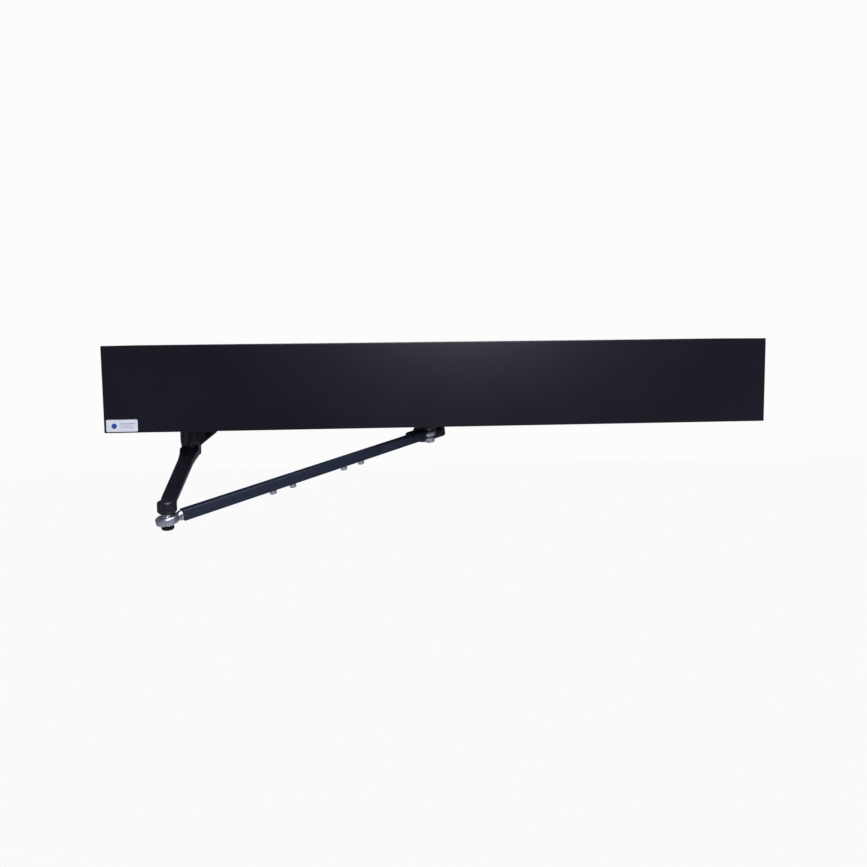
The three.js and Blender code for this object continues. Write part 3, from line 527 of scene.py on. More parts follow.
surfaces = {
    # skin is the shader's own values; patterns are scale, detail, roughness and stretch, 1000 / scale mm wide;
    # tint is a pattern and two colours; gloss is a pattern and two roughnesses; bumps are patterns and mm deep
    "cover": {  # extruded aluminium, etched and dyed: satin charcoal with faint lines along its length
        "name": "anodisedBlackExtrusion", "slot": "black_anodised", "skin": {"Specular IOR Level": 0.3},
        "patterns": {"lines": (900, 3, 0.6, (0.012, 1, 1)), "cloud": (9, 2, 0.5), "grain": (2600, 2, 0.5)},
        "tint": ("cloud", 0x0F0D16, 0x14121D), "gloss": ("lines", 0.40, 0.50),
        "bumps": [("lines", 0.006), ("grain", 0.004)]},
    "enamel": {  # black stoving enamel over forged steel: glossy orange peel over 8 mm forging scale
        "name": "blackStovedEnamel", "slot": "black_enamel",
        "skin": {"IOR": 1.5, "Coat Weight": 0.25, "Coat Roughness": 0.18},
        "patterns": {"peel": (420, 2, 0.4), "forge": (120, 3, 0.55)},
        "tint": ("forge", 0x0B0C13, 0x101119), "gloss": ("peel", 0.33, 0.44),
        "bumps": [("forge", 0.10), ("peel", 0.03)]},
    "rod": {  # the same enamel on smooth drawn square stock: bluish black, finer skin
        "name": "blackEnamelOnDrawnStock", "slot": "black_enamel",
        "skin": {"Metallic": 0.15, "IOR": 1.45, "Coat Weight": 0.1, "Coat Roughness": 0.3},
        "patterns": {"peel": (700, 2, 0.4)},
        "tint": ("peel", 0x182030, 0x1F283A), "gloss": ("peel", 0.44, 0.52), "bumps": [("peel", 0.02)]},
    "zinc": {  # electroplated zinc, clear passivated: bright cool silver with soft clouding
        "name": "brightZincPlate", "slot": "zinc_steel", "skin": {"Metallic": 1.0},
        "patterns": {"cloud": (260, 4, 0.55), "marks": (1500, 3, 0.6)},
        "tint": ("cloud", 0xB6BAC1, 0xCDD1D7), "gloss": ("cloud", 0.3, 0.44), "bumps": [("marks", 0.01)]},
    "cast": {  # pressure die cast aluminium, as cast: dull silver with a fine sandy skin
        "name": "dieCastAluminium", "slot": "cast_frame", "skin": {"Metallic": 0.9},
        "patterns": {"sand": (1400, 4, 0.65), "flow": (60, 3, 0.5)},
        "tint": ("flow", 0x94979A, 0xA9ACAF), "gloss": ("sand", 0.42, 0.58), "bumps": [("sand", 0.05)]},
    "steel": {  # turned and hobbed steel under a film of oil: grey with fine tool marks
        "name": "oiledMachinedSteel", "slot": "plain_steel",
        "skin": {"Metallic": 1.0, "Coat Weight": 0.3, "Coat Roughness": 0.12},
        "patterns": {"tool": (1800, 3, 0.6, (1, 1, 0.15))},
        "tint": ("tool", 0x85878B, 0x9DA0A5), "gloss": ("tool", 0.26, 0.38), "bumps": [("tool", 0.01)]},
    "blacked": {  # blacked steel, oiled: almost black with a brownish bloom and a soft sheen
        "name": "blackOxideSteel", "slot": "black_steel", "skin": {"Metallic": 0.75},
        "patterns": {"bloom": (300, 4, 0.6)},
        "tint": ("bloom", 0x17171A, 0x24221F), "gloss": ("bloom", 0.3, 0.45), "bumps": [("bloom", 0.01)]},
    "bronze": {  # sintered bronze: warm and porous, the pores drawn coarser than they are
        "name": "sinteredBronze", "slot": "bronze", "skin": {"Metallic": 0.95},
        "patterns": {"pores": (2200, 2, 0.5)},
        "tint": ("pores", 0x8C6A35, 0xB08A4A), "gloss": ("pores", 0.3, 0.48), "bumps": [("pores", 0.02)]},
    "abs": {  # injection moulded ABS off a spark-eroded tool: dull black with an even fine grain
        "name": "mouldedBlackAbs", "slot": "cap_black", "skin": {"IOR": 1.54},
        "patterns": {"grain": (1900, 2, 0.55)},
        "tint": ("grain", 0x191A1D, 0x212226), "gloss": ("grain", 0.45, 0.6), "bumps": [("grain", 0.05)]},
    "gloss": {  # nylon moulded off a polished tool: smooth black with a faint haze
        "name": "mouldedGlossNylon", "slot": "relay_black", "skin": {"IOR": 1.53},
        "patterns": {"haze": (500, 3, 0.5)},
        "tint": ("haze", 0x17181B, 0x1D1E22), "gloss": ("haze", 0.24, 0.36), "bumps": [("haze", 0.01)]},
    "red": {  # moulded polycarbonate, dyed through: clear strong red, smooth
        "name": "mouldedRedPolycarbonate", "slot": "rocker_red", "skin": {"IOR": 1.58},
        "patterns": {"haze": (500, 3, 0.5)},
        "tint": ("haze", 0x9A1A17, 0xA8211C), "gloss": ("haze", 0.24, 0.34), "bumps": [("haze", 0.01)]},
    "green": {  # moulded polyamide: flat green, slightly grained
        "name": "mouldedGreenPolyamide", "slot": "terminal_green", "skin": {"IOR": 1.53},
        "patterns": {"grain": (1500, 2, 0.5)},
        "tint": ("grain", 0x2C8A4B, 0x359A56), "gloss": ("grain", 0.4, 0.52), "bumps": [("grain", 0.02)]},
    "tape": {  # amber polyester film lapped over copper wire: glossy, warm, darker where turns overlap
        "name": "amberFilmTape", "slot": "winding_tape",
        "skin": {"IOR": 1.6, "Coat Weight": 0.5, "Coat Roughness": 0.12},
        "patterns": {"lap": (240, 3, 0.5)},
        "tint": ("lap", 0xA8741C, 0xC6933A), "gloss": ("lap", 0.26, 0.4), "bumps": [("lap", 0.05)]},
    "sink": {  # extruded and anodised: dull black with lines along the fins
        "name": "blackAnodisedHeatSink", "slot": "heat_sink_black", "skin": {"Metallic": 0.4},
        "patterns": {"lines": (1200, 3, 0.6, (1, 1, 0.05))},
        "tint": ("lines", 0x18191B, 0x222326), "gloss": ("lines", 0.5, 0.62), "bumps": [("lines", 0.01)]},
    "brass": {  # turned brass, thinly plated: pale gold, a little marked
        "name": "nickelledBrass", "slot": "bronze", "skin": {"Metallic": 1.0},
        "patterns": {"marks": (900, 3, 0.6)},
        "tint": ("marks", 0xB9A06A, 0xCDB98A), "gloss": ("marks", 0.25, 0.4), "bumps": [("marks", 0.01)]},
    "chip": {  # filled epoxy moulded round the part: dull charcoal
        "name": "blackEpoxyPackage", "slot": "relay_black", "skin": {"IOR": 1.5},
        "patterns": {"grain": (1600, 2, 0.5)},
        "tint": ("grain", 0x1D1E20, 0x2A2B2E), "gloss": ("grain", 0.4, 0.55), "bumps": [("grain", 0.01)]},
}


def newFinish(name, inputs):  # a bare shader, and the place on the piece that its patterns read
    material = bpy.data.materials.new(name)
    material.use_nodes = True
    tree = material.node_tree
    tree.nodes.clear()
    skin = addNode(tree, "ShaderNodeBsdfPrincipled", inputs)
    addNode(tree, "ShaderNodeOutputMaterial", {"Surface": skin})
    return material, tree, skin, addNode(tree, "ShaderNodeTexCoord").outputs["Object"]


def mottled(tree, place, scale, detail, rough, stretch=(1, 1, 1)):
    spot = addNode(tree, "ShaderNodeMapping", {"Vector": place, "Scale": stretch})
    noise = addNode(tree, "ShaderNodeTexNoise", {
        "Vector": spot, "Scale": scale, "Detail": detail, "Roughness": rough})
    return noise.outputs["Fac"]


def dressed(tree, skin, tint, gloss, bumps, isNoise=True):  # patterns drive the colour, roughness and relief
    middle = {"From Min": 0.3, "From Max": 0.7}  # where nearly all of a noise lies
    share, first, second = tint
    if isNoise:
        share = addNode(tree, "ShaderNodeMapRange", {"Value": share, **middle})
    mixed = addNode(tree, "ShaderNodeMix",
                    {0: share, 6: linearColor(first), 7: linearColor(second)}, data_type="RGBA")
    tree.links.new(mixed.outputs[2], skin.inputs["Base Color"])
    if gloss:
        pattern, low, high = gloss
        worn = addNode(tree, "ShaderNodeMapRange", {"Value": pattern, **middle, "To Min": low, "To Max": high})
        tree.links.new(worn.outputs[0], skin.inputs["Roughness"])
    relief = {}
    for pattern, depth in bumps:
        bump = addNode(tree, "ShaderNodeBump", {"Height": pattern, "Distance": depth * 0.001, **relief})
        relief = {"Normal": bump}
    tree.links.new(bump.outputs[0], skin.inputs["Normal"])
    return mixed.outputs[2]


def plainFinish(name, slot, skin, patterns, tint, gloss, bumps):
    material, tree, shader, place = newFinish(name, skin)
    made = {label: mottled(tree, place, *values) for label, values in patterns.items()}
    dressed(tree, shader, (made[tint[0]], *tint[1:]), (made[gloss[0]], *gloss[1:]),
            [(made[label], depth) for label, depth in bumps])
    return material, slot


def galvanisedSheet():  # hot dipped zinc sheet: flat angular spangles, each a slightly different grey
    material, tree, skin, place = newFinish("galvanisedSheet", {"Metallic": 0.95})
    spangle = addNode(tree, "ShaderNodeTexVoronoi", {"Vector": place, "Scale": 110.0, "Randomness": 1.0})
    shade = addNode(tree, "ShaderNodeSeparateColor", {0: spangle.outputs["Color"]})
    streak = mottled(tree, place, 400, 4, 0.6, (0.2, 1, 1))
    dressed(tree, skin, (shade, 0x9BA0A4, 0xB9BDC1), (shade, 0.32, 0.46), [(streak, 0.02)], False)
    return material, "galvanised"


def solderMask():  # glass laminate under green lacquer, copper tracks showing as paler lines
    material, tree, skin, place = newFinish("solderMaskedLaminate", {
        "IOR": 1.5, "Coat Weight": 0.4, "Coat Roughness": 0.15, "Roughness": 0.38})
    flat = addNode(tree, "ShaderNodeMapping", {"Vector": place, "Rotation": (math.pi / 2, 0, 0)})
    tracks = addNode(tree, "ShaderNodeTexBrick", {
        "Vector": flat, "Scale": 160.0, "Mortar Size": 0.03, "Mortar Smooth": 0.1,
        "Brick Width": 1.3, "Row Height": 0.32, "Color1": (0, 0, 0, 1), "Color2": (0.1, 0.1, 0.1, 1),
        "Mortar": (1, 1, 1, 1)}).outputs["Fac"]
    dressed(tree, skin, (tracks, 0x12512F, 0x2E7A4C), None, [(tracks, 0.04)], False)
    return material, "board_green"


labelPrint = {
    "left": -453.2, "bottom": -56.2,  # of the printed area, mm
    "dotAt": (9.5, 7.0), "dotRadius": 3.6,
    "rules": [(17.5, 37.0, 9.6, 10.4), (17.5, 33.0, 7.0, 7.5), (17.5, 35.0, 4.6, 5.1)],
    "foil": (0xEBEEF2, 0xF2F4F6), "ink": 0x2D4F9E, "ruleInk": 0x7C8188,
}


def silverFoil():  # brushed polyester foil label with plain printed marks: satin silver, no lettering
    p = labelPrint
    material, tree, skin, place = newFinish("brushedFoilLabel", {"IOR": 1.5})
    brush = mottled(tree, place, 2400, 2, 0.6, (0.03, 1, 1))
    ground = dressed(tree, skin, (brush, *p["foil"]), (brush, 0.34, 0.46), [(brush, 0.004)])
    flat = addNode(tree, "ShaderNodeMapping", {
        "Vector": place, "Scale": (1000, 1000, 1000), "Location": (-p["left"], 0, -p["bottom"])})
    x, y, z = addNode(tree, "ShaderNodeSeparateXYZ", {0: flat}).outputs
    spot = addNode(tree, "ShaderNodeCombineXYZ", {"X": x, "Y": z})
    reach = addNode(tree, "ShaderNodeVectorMath", {0: spot, 1: (*p["dotAt"], 0)}, operation="DISTANCE")
    dot = addNode(tree, "ShaderNodeMath", {0: reach.outputs["Value"], 1: p["dotRadius"]}, operation="LESS_THAN")
    marks = []
    for x0, x1, z0, z1 in p["rules"]:
        sides = [addNode(tree, "ShaderNodeMath", {0: way, 1: (a + b) / 2, 2: (b - a) / 2}, operation="COMPARE")
                 for way, a, b in ((x, x0, x1), (z, z0, z1))]
        marks.append((addNode(tree, "ShaderNodeMath", {0: sides[0], 1: sides[1]}, operation="MULTIPLY"),
                      p["ruleInk"]))
    for share, ink in [*marks, (dot, p["ink"])]:  # each mark is printed over what lies there
        ground = addNode(tree, "ShaderNodeMix", {0: share, 6: ground, 7: linearColor(ink)},
                         data_type="RGBA").outputs[2]
    tree.links.new(ground, skin.inputs["Base Color"])
    return material, "label_silver"


finish = {kind: plainFinish(**values) for kind, values in surfaces.items()}  # each is a material and its slot
finish.update(sheet=galvanisedSheet(), board=solderMask(), foil=silverFoil(),
              bezel=(finish["gloss"][0], "cap_black"))
print("finishes ready:", len(finish))


cover = {
    "length": 914.4, "height": 117.5, "depth": 130, "wall": 2.5, "corner": 1.6, "innerCorner": 0.5,
    "rear": -1.0, "edge": 0.35,
    "notchX": -360.7, "notchY": -70, "notchRadius": 12,
}


def makeCover():
    c = cover
    top = c["height"] / 2
    front = -c["depth"]

    def section(inset, radius, rear):
        y = front + inset
        z = top - inset
        return (
            [(rear, -z)]
            + arcPoints(y + radius, -z + radius, radius, 270, 180, 8)
            + arcPoints(y + radius, z - radius, radius, 180, 90, 8)
            + [(rear, z)]
        )

    outline = section(0, c["corner"], c["rear"]) + section(c["wall"], c["innerCorner"], c["rear"])[::-1]
    shell = raised(outline, -c["length"] / 2, c["length"] / 2)
    moved(shell, outlineOnYz)
    x = c["notchX"]
    y = c["notchY"]
    r = c["notchRadius"]
    nose = [(x + r, 5), (x - r, 5)] + arcPoints(x, y, r, 180, 360, 32)
    notch = raised(nose, -top - 2, -top + c["wall"] + 2)
    combined(shell, [notch])
    eased(shell, c["edge"], 2)
    settled(shell, "coverShell", "cover_shell", "cover", ["cover"])


label = {"left": -454.2, "right": -412.7, "low": -56.95, "high": -40.65, "back": -130.1, "thick": 0.4}


def makeLabel():
    p = label
    wide = p["right"] - p["left"]
    tall = p["high"] - p["low"]
    outline = roundedBox(wide, tall, 1.6, 5, (p["left"] + p["right"]) / 2, (p["low"] + p["high"]) / 2)
    plate = raised(outline, 0, p["thick"])
    moved(plate, shift(0, p["back"] - p["thick"], 0) @ outlineOnXz)
    eased(plate, 0.08, 1)
    settled(plate, "ratingLabel", "cover_shell", "foil", ["label_plate"])


keptShapes = {  # name, body, finish, and the width, steps and least angle of the eased edges
    "back_plate": ("backPlate", "housing", "sheet", 0.35, 2, 32),
    "switch_bezel": ("switchBezel", "housing", "bezel", 0.35, 3, 32),
    "gearbox_base": ("gearboxBase", "housing", "cast", 0.8, 3, 32),
    "gearbox_top": ("gearboxTop", "housing", "cast", 0.8, 3, 32),
    "spring_tube_saddle": ("springTubeSaddle", "housing", "cast", 0.8, 2, 32),
    "rack_plunger": ("rackPlunger", "plunger", "steel", 0.2, 1, 50),
    "control_board": ("controlBoard", "housing", "board", 0.15, 1, 32),
    "terminal_strip": ("terminalStrip", "housing", "green", 0.3, 2, 32),
    "relay": ("boardRelay", "housing", "gloss", 0.7, 3, 32),
}


def makeKeptShapes():
    for node, (name, body, kind, *edge) in keptShapes.items():
        settled(eased(copied(node), *edge), name, body, kind, [node])


endCap = {"x": 453.2, "thick": 4, "front": -126.75, "back": -0.3, "half": 55.5, "border": 5, "sunk": 0.8,
          "corner": 2.5}


def makeEndCaps():
    e = endCap
    for side, node, name in ((-1, "end_cap_left", "endCapLeft"), (1, "end_cap_right", "endCapRight")):
        deep = e["back"] - e["front"]
        middle = (e["back"] + e["front"]) / 2
        body = raised(roundedBox(deep, 2 * e["half"], e["corner"], 5, middle, 0), 0, e["thick"])
        panel = raised(
            roundedBox(deep - 2 * e["border"], 2 * (e["half"] - e["border"]), 3, 5, middle, 0),
            e["thick"] - e["sunk"],
            e["thick"] + 1,
        )
        cutters = [panel]
        if side > 0:
            cutters.append(raised(roundedBox(14, 22, 0.6, 2, -82, 0), -1, 6))
            cutters.append(raised(arcPoints(-45, 0, 10, 0, 352.5, 47), -1, 6))
            # the lips of the switch and the plug sit on pads as high as the border
            pads = [
                raised(roundedBox(24, 32, 2, 4, -82, 0), e["thick"] - e["sunk"] - 1, e["thick"]),
                raised(arcPoints(-45, 0, 14, 0, 352.5, 47), e["thick"] - e["sunk"] - 1, e["thick"]),
            ]
            combined(body, [cutters.pop(0)])
            combined(body, pads, "UNION")
        combined(body, cutters)
        eased(cleaned(body, 0.5), 0.4, 2)
        turn = shift(side * (e["x"] - e["thick"]), 0, 0) @ Matrix.Diagonal((side, 1, 1, 1)) @ outlineOnYz
        settled(body, name, "housing", "abs", [node], matrix=turn)


makeCamera()
makeRoom()
makeCover()
makeLabel()
makeKeptShapes()
makeEndCaps()
print("cover, label, end caps and eased CAD shapes ready")


switch = {"pivot": (451.2, -82, 0), "halfWide": 4.7, "halfTall": 8.1}


def makeSwitch():
    s = switch
    # the key's face dips in the middle and rises to both ends
    face = []
    for i in range(17):
        t = -1 + i / 8
        face.append((3.0 + 1.4 * t * t, t * s["halfTall"]))
    outline = [(-2.6, -3), (1.6, -s["halfTall"])] + face + [(1.6, s["halfTall"]), (-2.6, 3)]
    key = raised(outline, -s["halfWide"], s["halfWide"])
    moved(key, outlineOnXz)
    eased(key, 0.4, 3)
    settled(key, "switchRocker", "rocker", "red", ["switch_rocker"],
            Matrix.Translation(s["pivot"]))


plug = {"at": (453.2, -45, 0), "radius": 9.7, "lip": 11.5}  # on the right end cap's face


def makePlug():
    r = plug["radius"]
    lip = plug["lip"]
    outline = rounded([(0, -6), (r, -6), (r, 0.3), (lip, 0.3), (lip, 1), (10, 1.8), (7.4, 1.8), (7.0, 1.3),
                       (0, 1.3)], 0.3, 3)
    settled(turned(outline, 72), "knockoutPlug", "housing", "abs", ["knockout_plug"],
            shift(*plug["at"]) @ alongX)


makeSwitch()
makePlug()
print("switch and plug ready")


def screwShape(headRadius, headHeight, shankRadius, shankLength, crown=0.3, thread=1.0):
    top = headHeight
    outline = [(0, -shankLength), (shankRadius * 0.8, -shankLength), (shankRadius, -shankLength + 0.6)]
    z = -shankLength + 1.4
    while z < -1.2 and thread:  # a rolled thread, drawn as plain rings
        outline += [(shankRadius, z), (shankRadius * 0.88, z + thread * 0.5)]
        z += thread
    outline += [(shankRadius, -0.6), (shankRadius, 0), (headRadius - 0.3, 0), (headRadius, 0.3)]
    if crown > 0.45:  # a domed button head
        for i in range(7):
            t = i / 6 * math.pi / 2
            outline.append((headRadius * (0.55 + 0.45 * math.cos(t)), top * (1 - crown + crown * math.sin(t))))
    else:
        outline += [(headRadius, top * (1 - crown)), (headRadius * 0.93, top * 0.93), (headRadius * 0.8, top)]
    outline.append((0, top))
    body = turned(outline, 48)
    across = headRadius * 0.48
    hexagon = [(across * math.cos(math.pi / 3 * i), across * math.sin(math.pi / 3 * i)) for i in range(6)]
    return combined(body, [raised(hexagon, top * 0.45, top + 1)])


gearbox = {
    "spindle": (-360.7, -70), "idler": (-309.7, -70), "motor": (-268.7, -70),
    "plateLow": (-52, -46), "plateHigh": (6, 12),
    "posts": {"x": (-390.7, -242.7), "y": (-104, -36), "low": -45.7, "high": 5.7, "radius": 5},
}


def makeGearboxFrame():
    g = gearbox
    p = g["posts"]
    r = p["radius"]
    outline = rounded([
        (0, p["low"]), (r, p["low"]), (r, p["low"] + 6), (r * 0.82, p["low"] + 7),
        (r * 0.82, p["high"] - 7), (r, p["high"] - 6), (r, p["high"]), (0, p["high"])], 0.5, 2)
    post = turned(outline, 40)
    posts = repeated(post, "steel", count=2, step=(p["x"][1] - p["x"][0], 0, 0),
                     rows=2, rowStep=(0, p["y"][1] - p["y"][0], 0))
    settled(posts, "gearboxPosts", "housing", "steel",
            [f"gearbox_post_{i}" for i in (1, 2, 3, 4)], matrix=shift(p["x"][0], p["y"][0], 0))
    bearing = turned(rounded([
        (8.3, -4), (10, -4), (10.4, -3.4), (12, -3.4), (12.4, -4), (14, -4), (14, 4), (12.4, 4),
        (12, 3.4), (10.4, 3.4), (10, 4), (8.3, 4)], 0.3, 2), 64)
    pair = repeated(bearing, "bronze", count=2, step=(0, 0, 58.0))
    settled(pair, "spindleBearings", "housing", "bronze",
            ["spindle_bearing_lower", "spindle_bearing_upper"],
            shift(*g["spindle"], -49))


def gearShape(teeth, module, width, turn=0.0):
    return eased(grown(gearTree, "steel", teeth=teeth, module=module, width=width, turn=turn), 0.25, 1, 50)


def makeSpindleGears():
    g = gearbox
    wheel = gearShape(38, 2.0, 12.0)
    web = turned(rounded([(13, 8.5), (31, 8.5), (31, 13), (13, 13)], 0.5, 2), 72)
    webUnder = turned(rounded([(13, -1), (31, -1), (31, 3.5), (13, 3.5)], 0.5, 2), 72)
    hole = turned([(0, -2), (3.2, -2), (3.2, 14), (0, 14)], 32)
    holes = repeated(moved(hole, shift(22, 0, 0)), "steel", count=6,
                     step=(0, 0, 0), turn=math.pi / 3)
    bore = turned([(0, -2), (8.3, -2), (8.3, 14), (0, 14)], 48)
    combined(wheel, [web, webUnder, holes, bore])
    place = shift(*g["spindle"], 0)
    settled(wheel, "outputGear", "arm", "steel", ["output_gear"],
            place @ shift(0, 0, -43))
    rackPinion = gearShape(14, 2.0, 14.0, math.pi / 2 + math.pi / 14)
    combined(rackPinion, [turned([(0, -2), (8.3, -2), (8.3, 16), (0, 16)], 48)])
    settled(rackPinion, "springPinion", "arm", "steel", ["spring_pinion"],
            place @ shift(0, 0, -17.5))
    shaft = turned(rounded([
        (4.3, -85.75), (8, -85.75), (8, 10.4), (7.4, 10.4), (7.4, 11.8), (8, 11.8), (8, 15), (7, 16),
        (3, 16), (2, 14), (0, 14), (0, -65.75), (4.3, -65.75)], 0.3, 2), 56)
    settled(shaft, "spindleShaft", "arm", "steel", ["spindle"], place)


def makeReductionGears():
    g = gearbox
    halfTooth = math.pi / 13
    small = gearShape(13, 2.0, 14.5, math.pi + halfTooth)
    big = gearShape(28, 2.0, 8.0)
    moved(small, shift(0, 0, -43))
    moved(big, shift(0, 0, -29.5))
    groove = turned(rounded([(11.5, -23.5), (23, -23.5), (23, -20), (11.5, -20)], 0.4, 2), 64)
    combined(big, [groove])
    shaft = turned(rounded([
        (0, -51), (3.4, -51), (4, -50.4), (4, 10.4), (3.4, 11), (0, 11)], 0.2, 2), 40)
    combined(big, [small, shaft], "UNION")
    settled(big, "intermediateGear", "intermediate", "steel", ["intermediate_gear"],
            shift(*g["idler"], 0))
    rotor = gearShape(13, 2.0, 8.0, math.pi + halfTooth)
    moved(rotor, shift(0, 0, -29.5))
    spindle = turned(rounded([
        (0, -51), (3.4, -51), (4, -50.4), (4, 17.4), (3.4, 18), (0, 18)], 0.2, 2), 40)
    combined(rotor, [spindle], "UNION")
    settled(rotor, "motorShaft", "rotor", "steel", ["motor_shaft"],
            shift(*g["motor"], 0))


motor = {"radius": 28, "low": 12.3, "high": 48.3, "slots": 14, "slotTall": 9, "slotWide": 3}


def makeMotor():
    m = motor
    r = m["radius"]
    low = m["low"]
    high = m["high"]
    can = turned(rounded([
        (4.3, low), (r - 1.5, low), (r, low + 1.5), (r, low + 5.2), (r - 0.6, low + 5.5), (r - 0.6, low + 6.3),
        (r, low + 6.6), (r, high - 6.6), (r - 0.6, high - 6.3), (r - 0.6, high - 5.5), (r, high - 5.2),
        (r, high - 1.5), (r - 1.5, high), (0, high), (0, low + 10), (4.3, low + 10)], 0.35, 2), 96)
    slot = raised(roundedBox(2.4, m["slotWide"], 0.4, 2), low + 10, low + 10 + m["slotTall"])
    ring = repeated(moved(slot, shift(r, 0, 0)), "blacked",
                    count=m["slots"], step=(0, 0, 0), turn=2 * math.pi / m["slots"])
    combined(can, [ring])
    place = shift(*gearbox["motor"], 0)
    settled(can, "motorCan", "housing", "blacked", ["motor_can"], place)
    top = turned(rounded([
        (0, high + 0.3), (15, high + 0.3), (15, high + 4), (13.4, high + 5.5), (6, high + 5.5),
        (5.4, high + 4.8), (0, high + 4.8)], 0.5, 3), 64)
    settled(top, "motorEncoder", "housing", "abs", ["motor_encoder"], place)


makeGearboxFrame()
makeSpindleGears()
makeReductionGears()
makeMotor()
print("gearbox and motor ready")


springBox = {"y": -50, "z": -10.5, "tube": (-230.7, -80.7), "radius": 22, "wall": 3,
             "from": -224.2, "travel": 27,
             "wound": {"length": 117.0, "radius": 15.7, "wire": 1.8, "turns": 9.0}}


def makeSpring():
    s = springBox
    place = shift(0, s["y"], s["z"]) @ alongX
    start, end = s["tube"]
    r = s["radius"]
    tube = turned(rounded([
        (6.5, start), (r - 1, start), (r, start + 1), (r, start + 6), (r - 0.5, start + 6.4),
        (r - 0.5, start + 7.4), (r, start + 7.8), (r, end), (r - s["wall"], end),
        (r - s["wall"], start + 4), (6.5, start + 4)], 0.25, 2), 80)
    settled(tube, "springTube", "housing", "cast", ["spring_tube"], place)
    plug = turned(rounded([
        (0, end - 6), (18.7, end - 6), (18.7, end + 0.3), (r, end + 0.3), (r, end + 4), (r - 1, end + 5),
        (7, end + 5), (7, end + 9.4), (6.4, end + 10), (0, end + 10)], 0.3, 2), 80)
    settled(plug, "springTubePlug", "housing", "cast", ["spring_tube_plug"], place)
    coil = grown(coilTree, "blacked", **s["wound"])
    made = settled(coil, "closingSpring", "housing", "blacked", ["closing_spring"],
                   shift(s["from"], s["y"], s["z"]) @ alongX, 60)
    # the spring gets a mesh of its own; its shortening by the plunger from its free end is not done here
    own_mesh(made)


makeSpring()
print("closing spring ready")


board = {"x": -20, "wide": 190, "tall": 92, "face": -14.2, "ways": 12, "pitch": 7.6}


def makeBoard():
    b = board
    stand = turned(rounded([(0, 0.3), (3.5, 0.3), (3.5, 9.3), (0, 9.3)], 0.3, 2), 6)
    x = b["wide"] / 2 - 6
    z = b["tall"] / 2 - 6
    moved(stand, shift(0, -12.6, 0) @ alongY)
    stands = repeated(stand, "bronze", count=2, step=(2 * x, 0, 0), rows=2,
                      rowStep=(0, 0, 2 * z))
    settled(stands, "boardStandoffs", "housing", "bronze",
            [f"board_standoff_{i}" for i in (1, 2, 3, 4)], matrix=shift(b["x"] - x, 0, -z))

    screw = screwShape(2.0, 1.4, 1.0, 3.0, 0.3, 0)
    left = b["x"] - b["ways"] * b["pitch"] / 2 + b["pitch"] / 2
    moved(screw, Matrix.Rotation(math.pi / 2, 4, "X"))
    screws = repeated(screw, "brass", count=b["ways"], step=(b["pitch"], 0, 0))
    settled(screws, "terminalScrews", "housing", "brass",
            matrix=shift(left, -26.0, -37.0))

    can = turned(rounded([
        (0, 0), (4.5, 0), (4.7, 0.35), (9.2, 0.35), (9.6, 0), (10.5, 0.9), (10.5, 27), (9.9, 27.6),
        (9.9, 28.4), (10.5, 29), (10.5, 31), (9.5, 31.5), (0, 31.5)], 0.3, 2), 64)
    settled(can, "reservoirCapacitor", "housing", "gloss", ["reservoir_capacitor"],
            shift(b["x"] + 20, -45.9, 20) @ alongY)
    fin = eased(block(1.5, 3.5, -24, -3, -6, 34), 0.4, 2)
    fins = repeated(fin, "sink", count=7, step=(6, 0, 0))
    base = eased(block(0, 42, -4, 0, -6, 34), 0.4, 2)
    sink = joined([fins, base])
    settled(sink, "heatSink", "housing", "sink", ["heat_sink"],
            shift(b["x"] + 44, b["face"] - 0.3, 0))

    chip = eased(block(-1.6, 1.6, -0.9, 0.9, 0, 1.1), 0.15, 1)
    chips = repeated(chip, "chip", chipTree, columns=8, rows=6, step=7.0, seed=7, share=0.62)
    lay = shift(b["x"] - 20, b["face"] - 0.02, 12) @ Matrix.Rotation(math.pi / 2, 4, "X")
    settled(chips, "boardChips", "housing", "chip", matrix=lay)
    package = eased(block(-6, 6, -6, 6, 0, 1.6), 0.3, 2)
    settled(package, "boardController", "housing", "chip",
            matrix=shift(-60, 0, -50) @ lay)


transformer = {"x": 190, "back": -3.3, "tall": 44}
transformerFrame = shift(transformer["x"], transformer["back"], 0) @ Matrix.Rotation(math.pi / 2, 4, "X")


def makeTransformer():
    t = transformer
    tall = t["tall"]
    # upright here, its axis then lies on y with z = 0 at the back plate
    core = turned(rounded([
        (17, 1.2), (45, 1.2), (45, tall - 1.2), (17, tall - 1.2)], 5, 5), 72)
    winding = grown(windingTree, "tape", turns=96, meanRadius=31.0, build=29.0, height=tall - 1.2, corner=6.5,
                    tapeWidth=2.6, lean=0.05)
    moved(winding, shift(0, 0, tall / 2))
    ring = joined([core, winding])
    settled(ring, "toroidTransformer", "housing", "tape", ["transformer"],
            transformerFrame, angle=40)
    washer = turned(rounded([
        (3.4, 0), (34, 0), (34, 2), (26, 2), (24, 1.4), (12, 1.4), (10, 2), (3.4, 2)], 0.3, 2), 72)
    settled(washer, "transformerWasher", "housing", "sheet", ["transformer_washer"],
            transformerFrame @ shift(0, 0, tall + 0.3))


makeBoard()
makeTransformer()
print("board and transformer ready")


arm = {  # local x runs from the spindle to the elbow, z = 0 is the cover's underside
    "place": (-360.7, -70, -58.75), "yaw": -80.7, "length": 224,
    "hubRadius": 14.5, "coneRadius": 13.4, "hubTop": -3, "hubLow": -28,
    "drop": 56.75, "bossRadius": 10.7, "bossTall": 14.5,
    "top": [(0, -27), (18.5, -27), (22.3, -27.3), (26.5, -29), (30.8, -31.7), (206, -55.55), (212, -56.9),
            (224, -56.9)],
    "low": [(0, -42), (15.5, -42), (32.5, -43), (206, -64.75), (224, -64.75)],
    "half": [(0, 13.3), (22.5, 13.3), (60, 10.7), (224, 9.3)],
    "draft": 1.6, "soft": 2.4, "lugReach": 36.5, "grain": 0.75,
}
armFrame = Matrix.Translation(arm["place"]) @ Matrix.Rotation(math.radians(arm["yaw"]), 4, "Z")


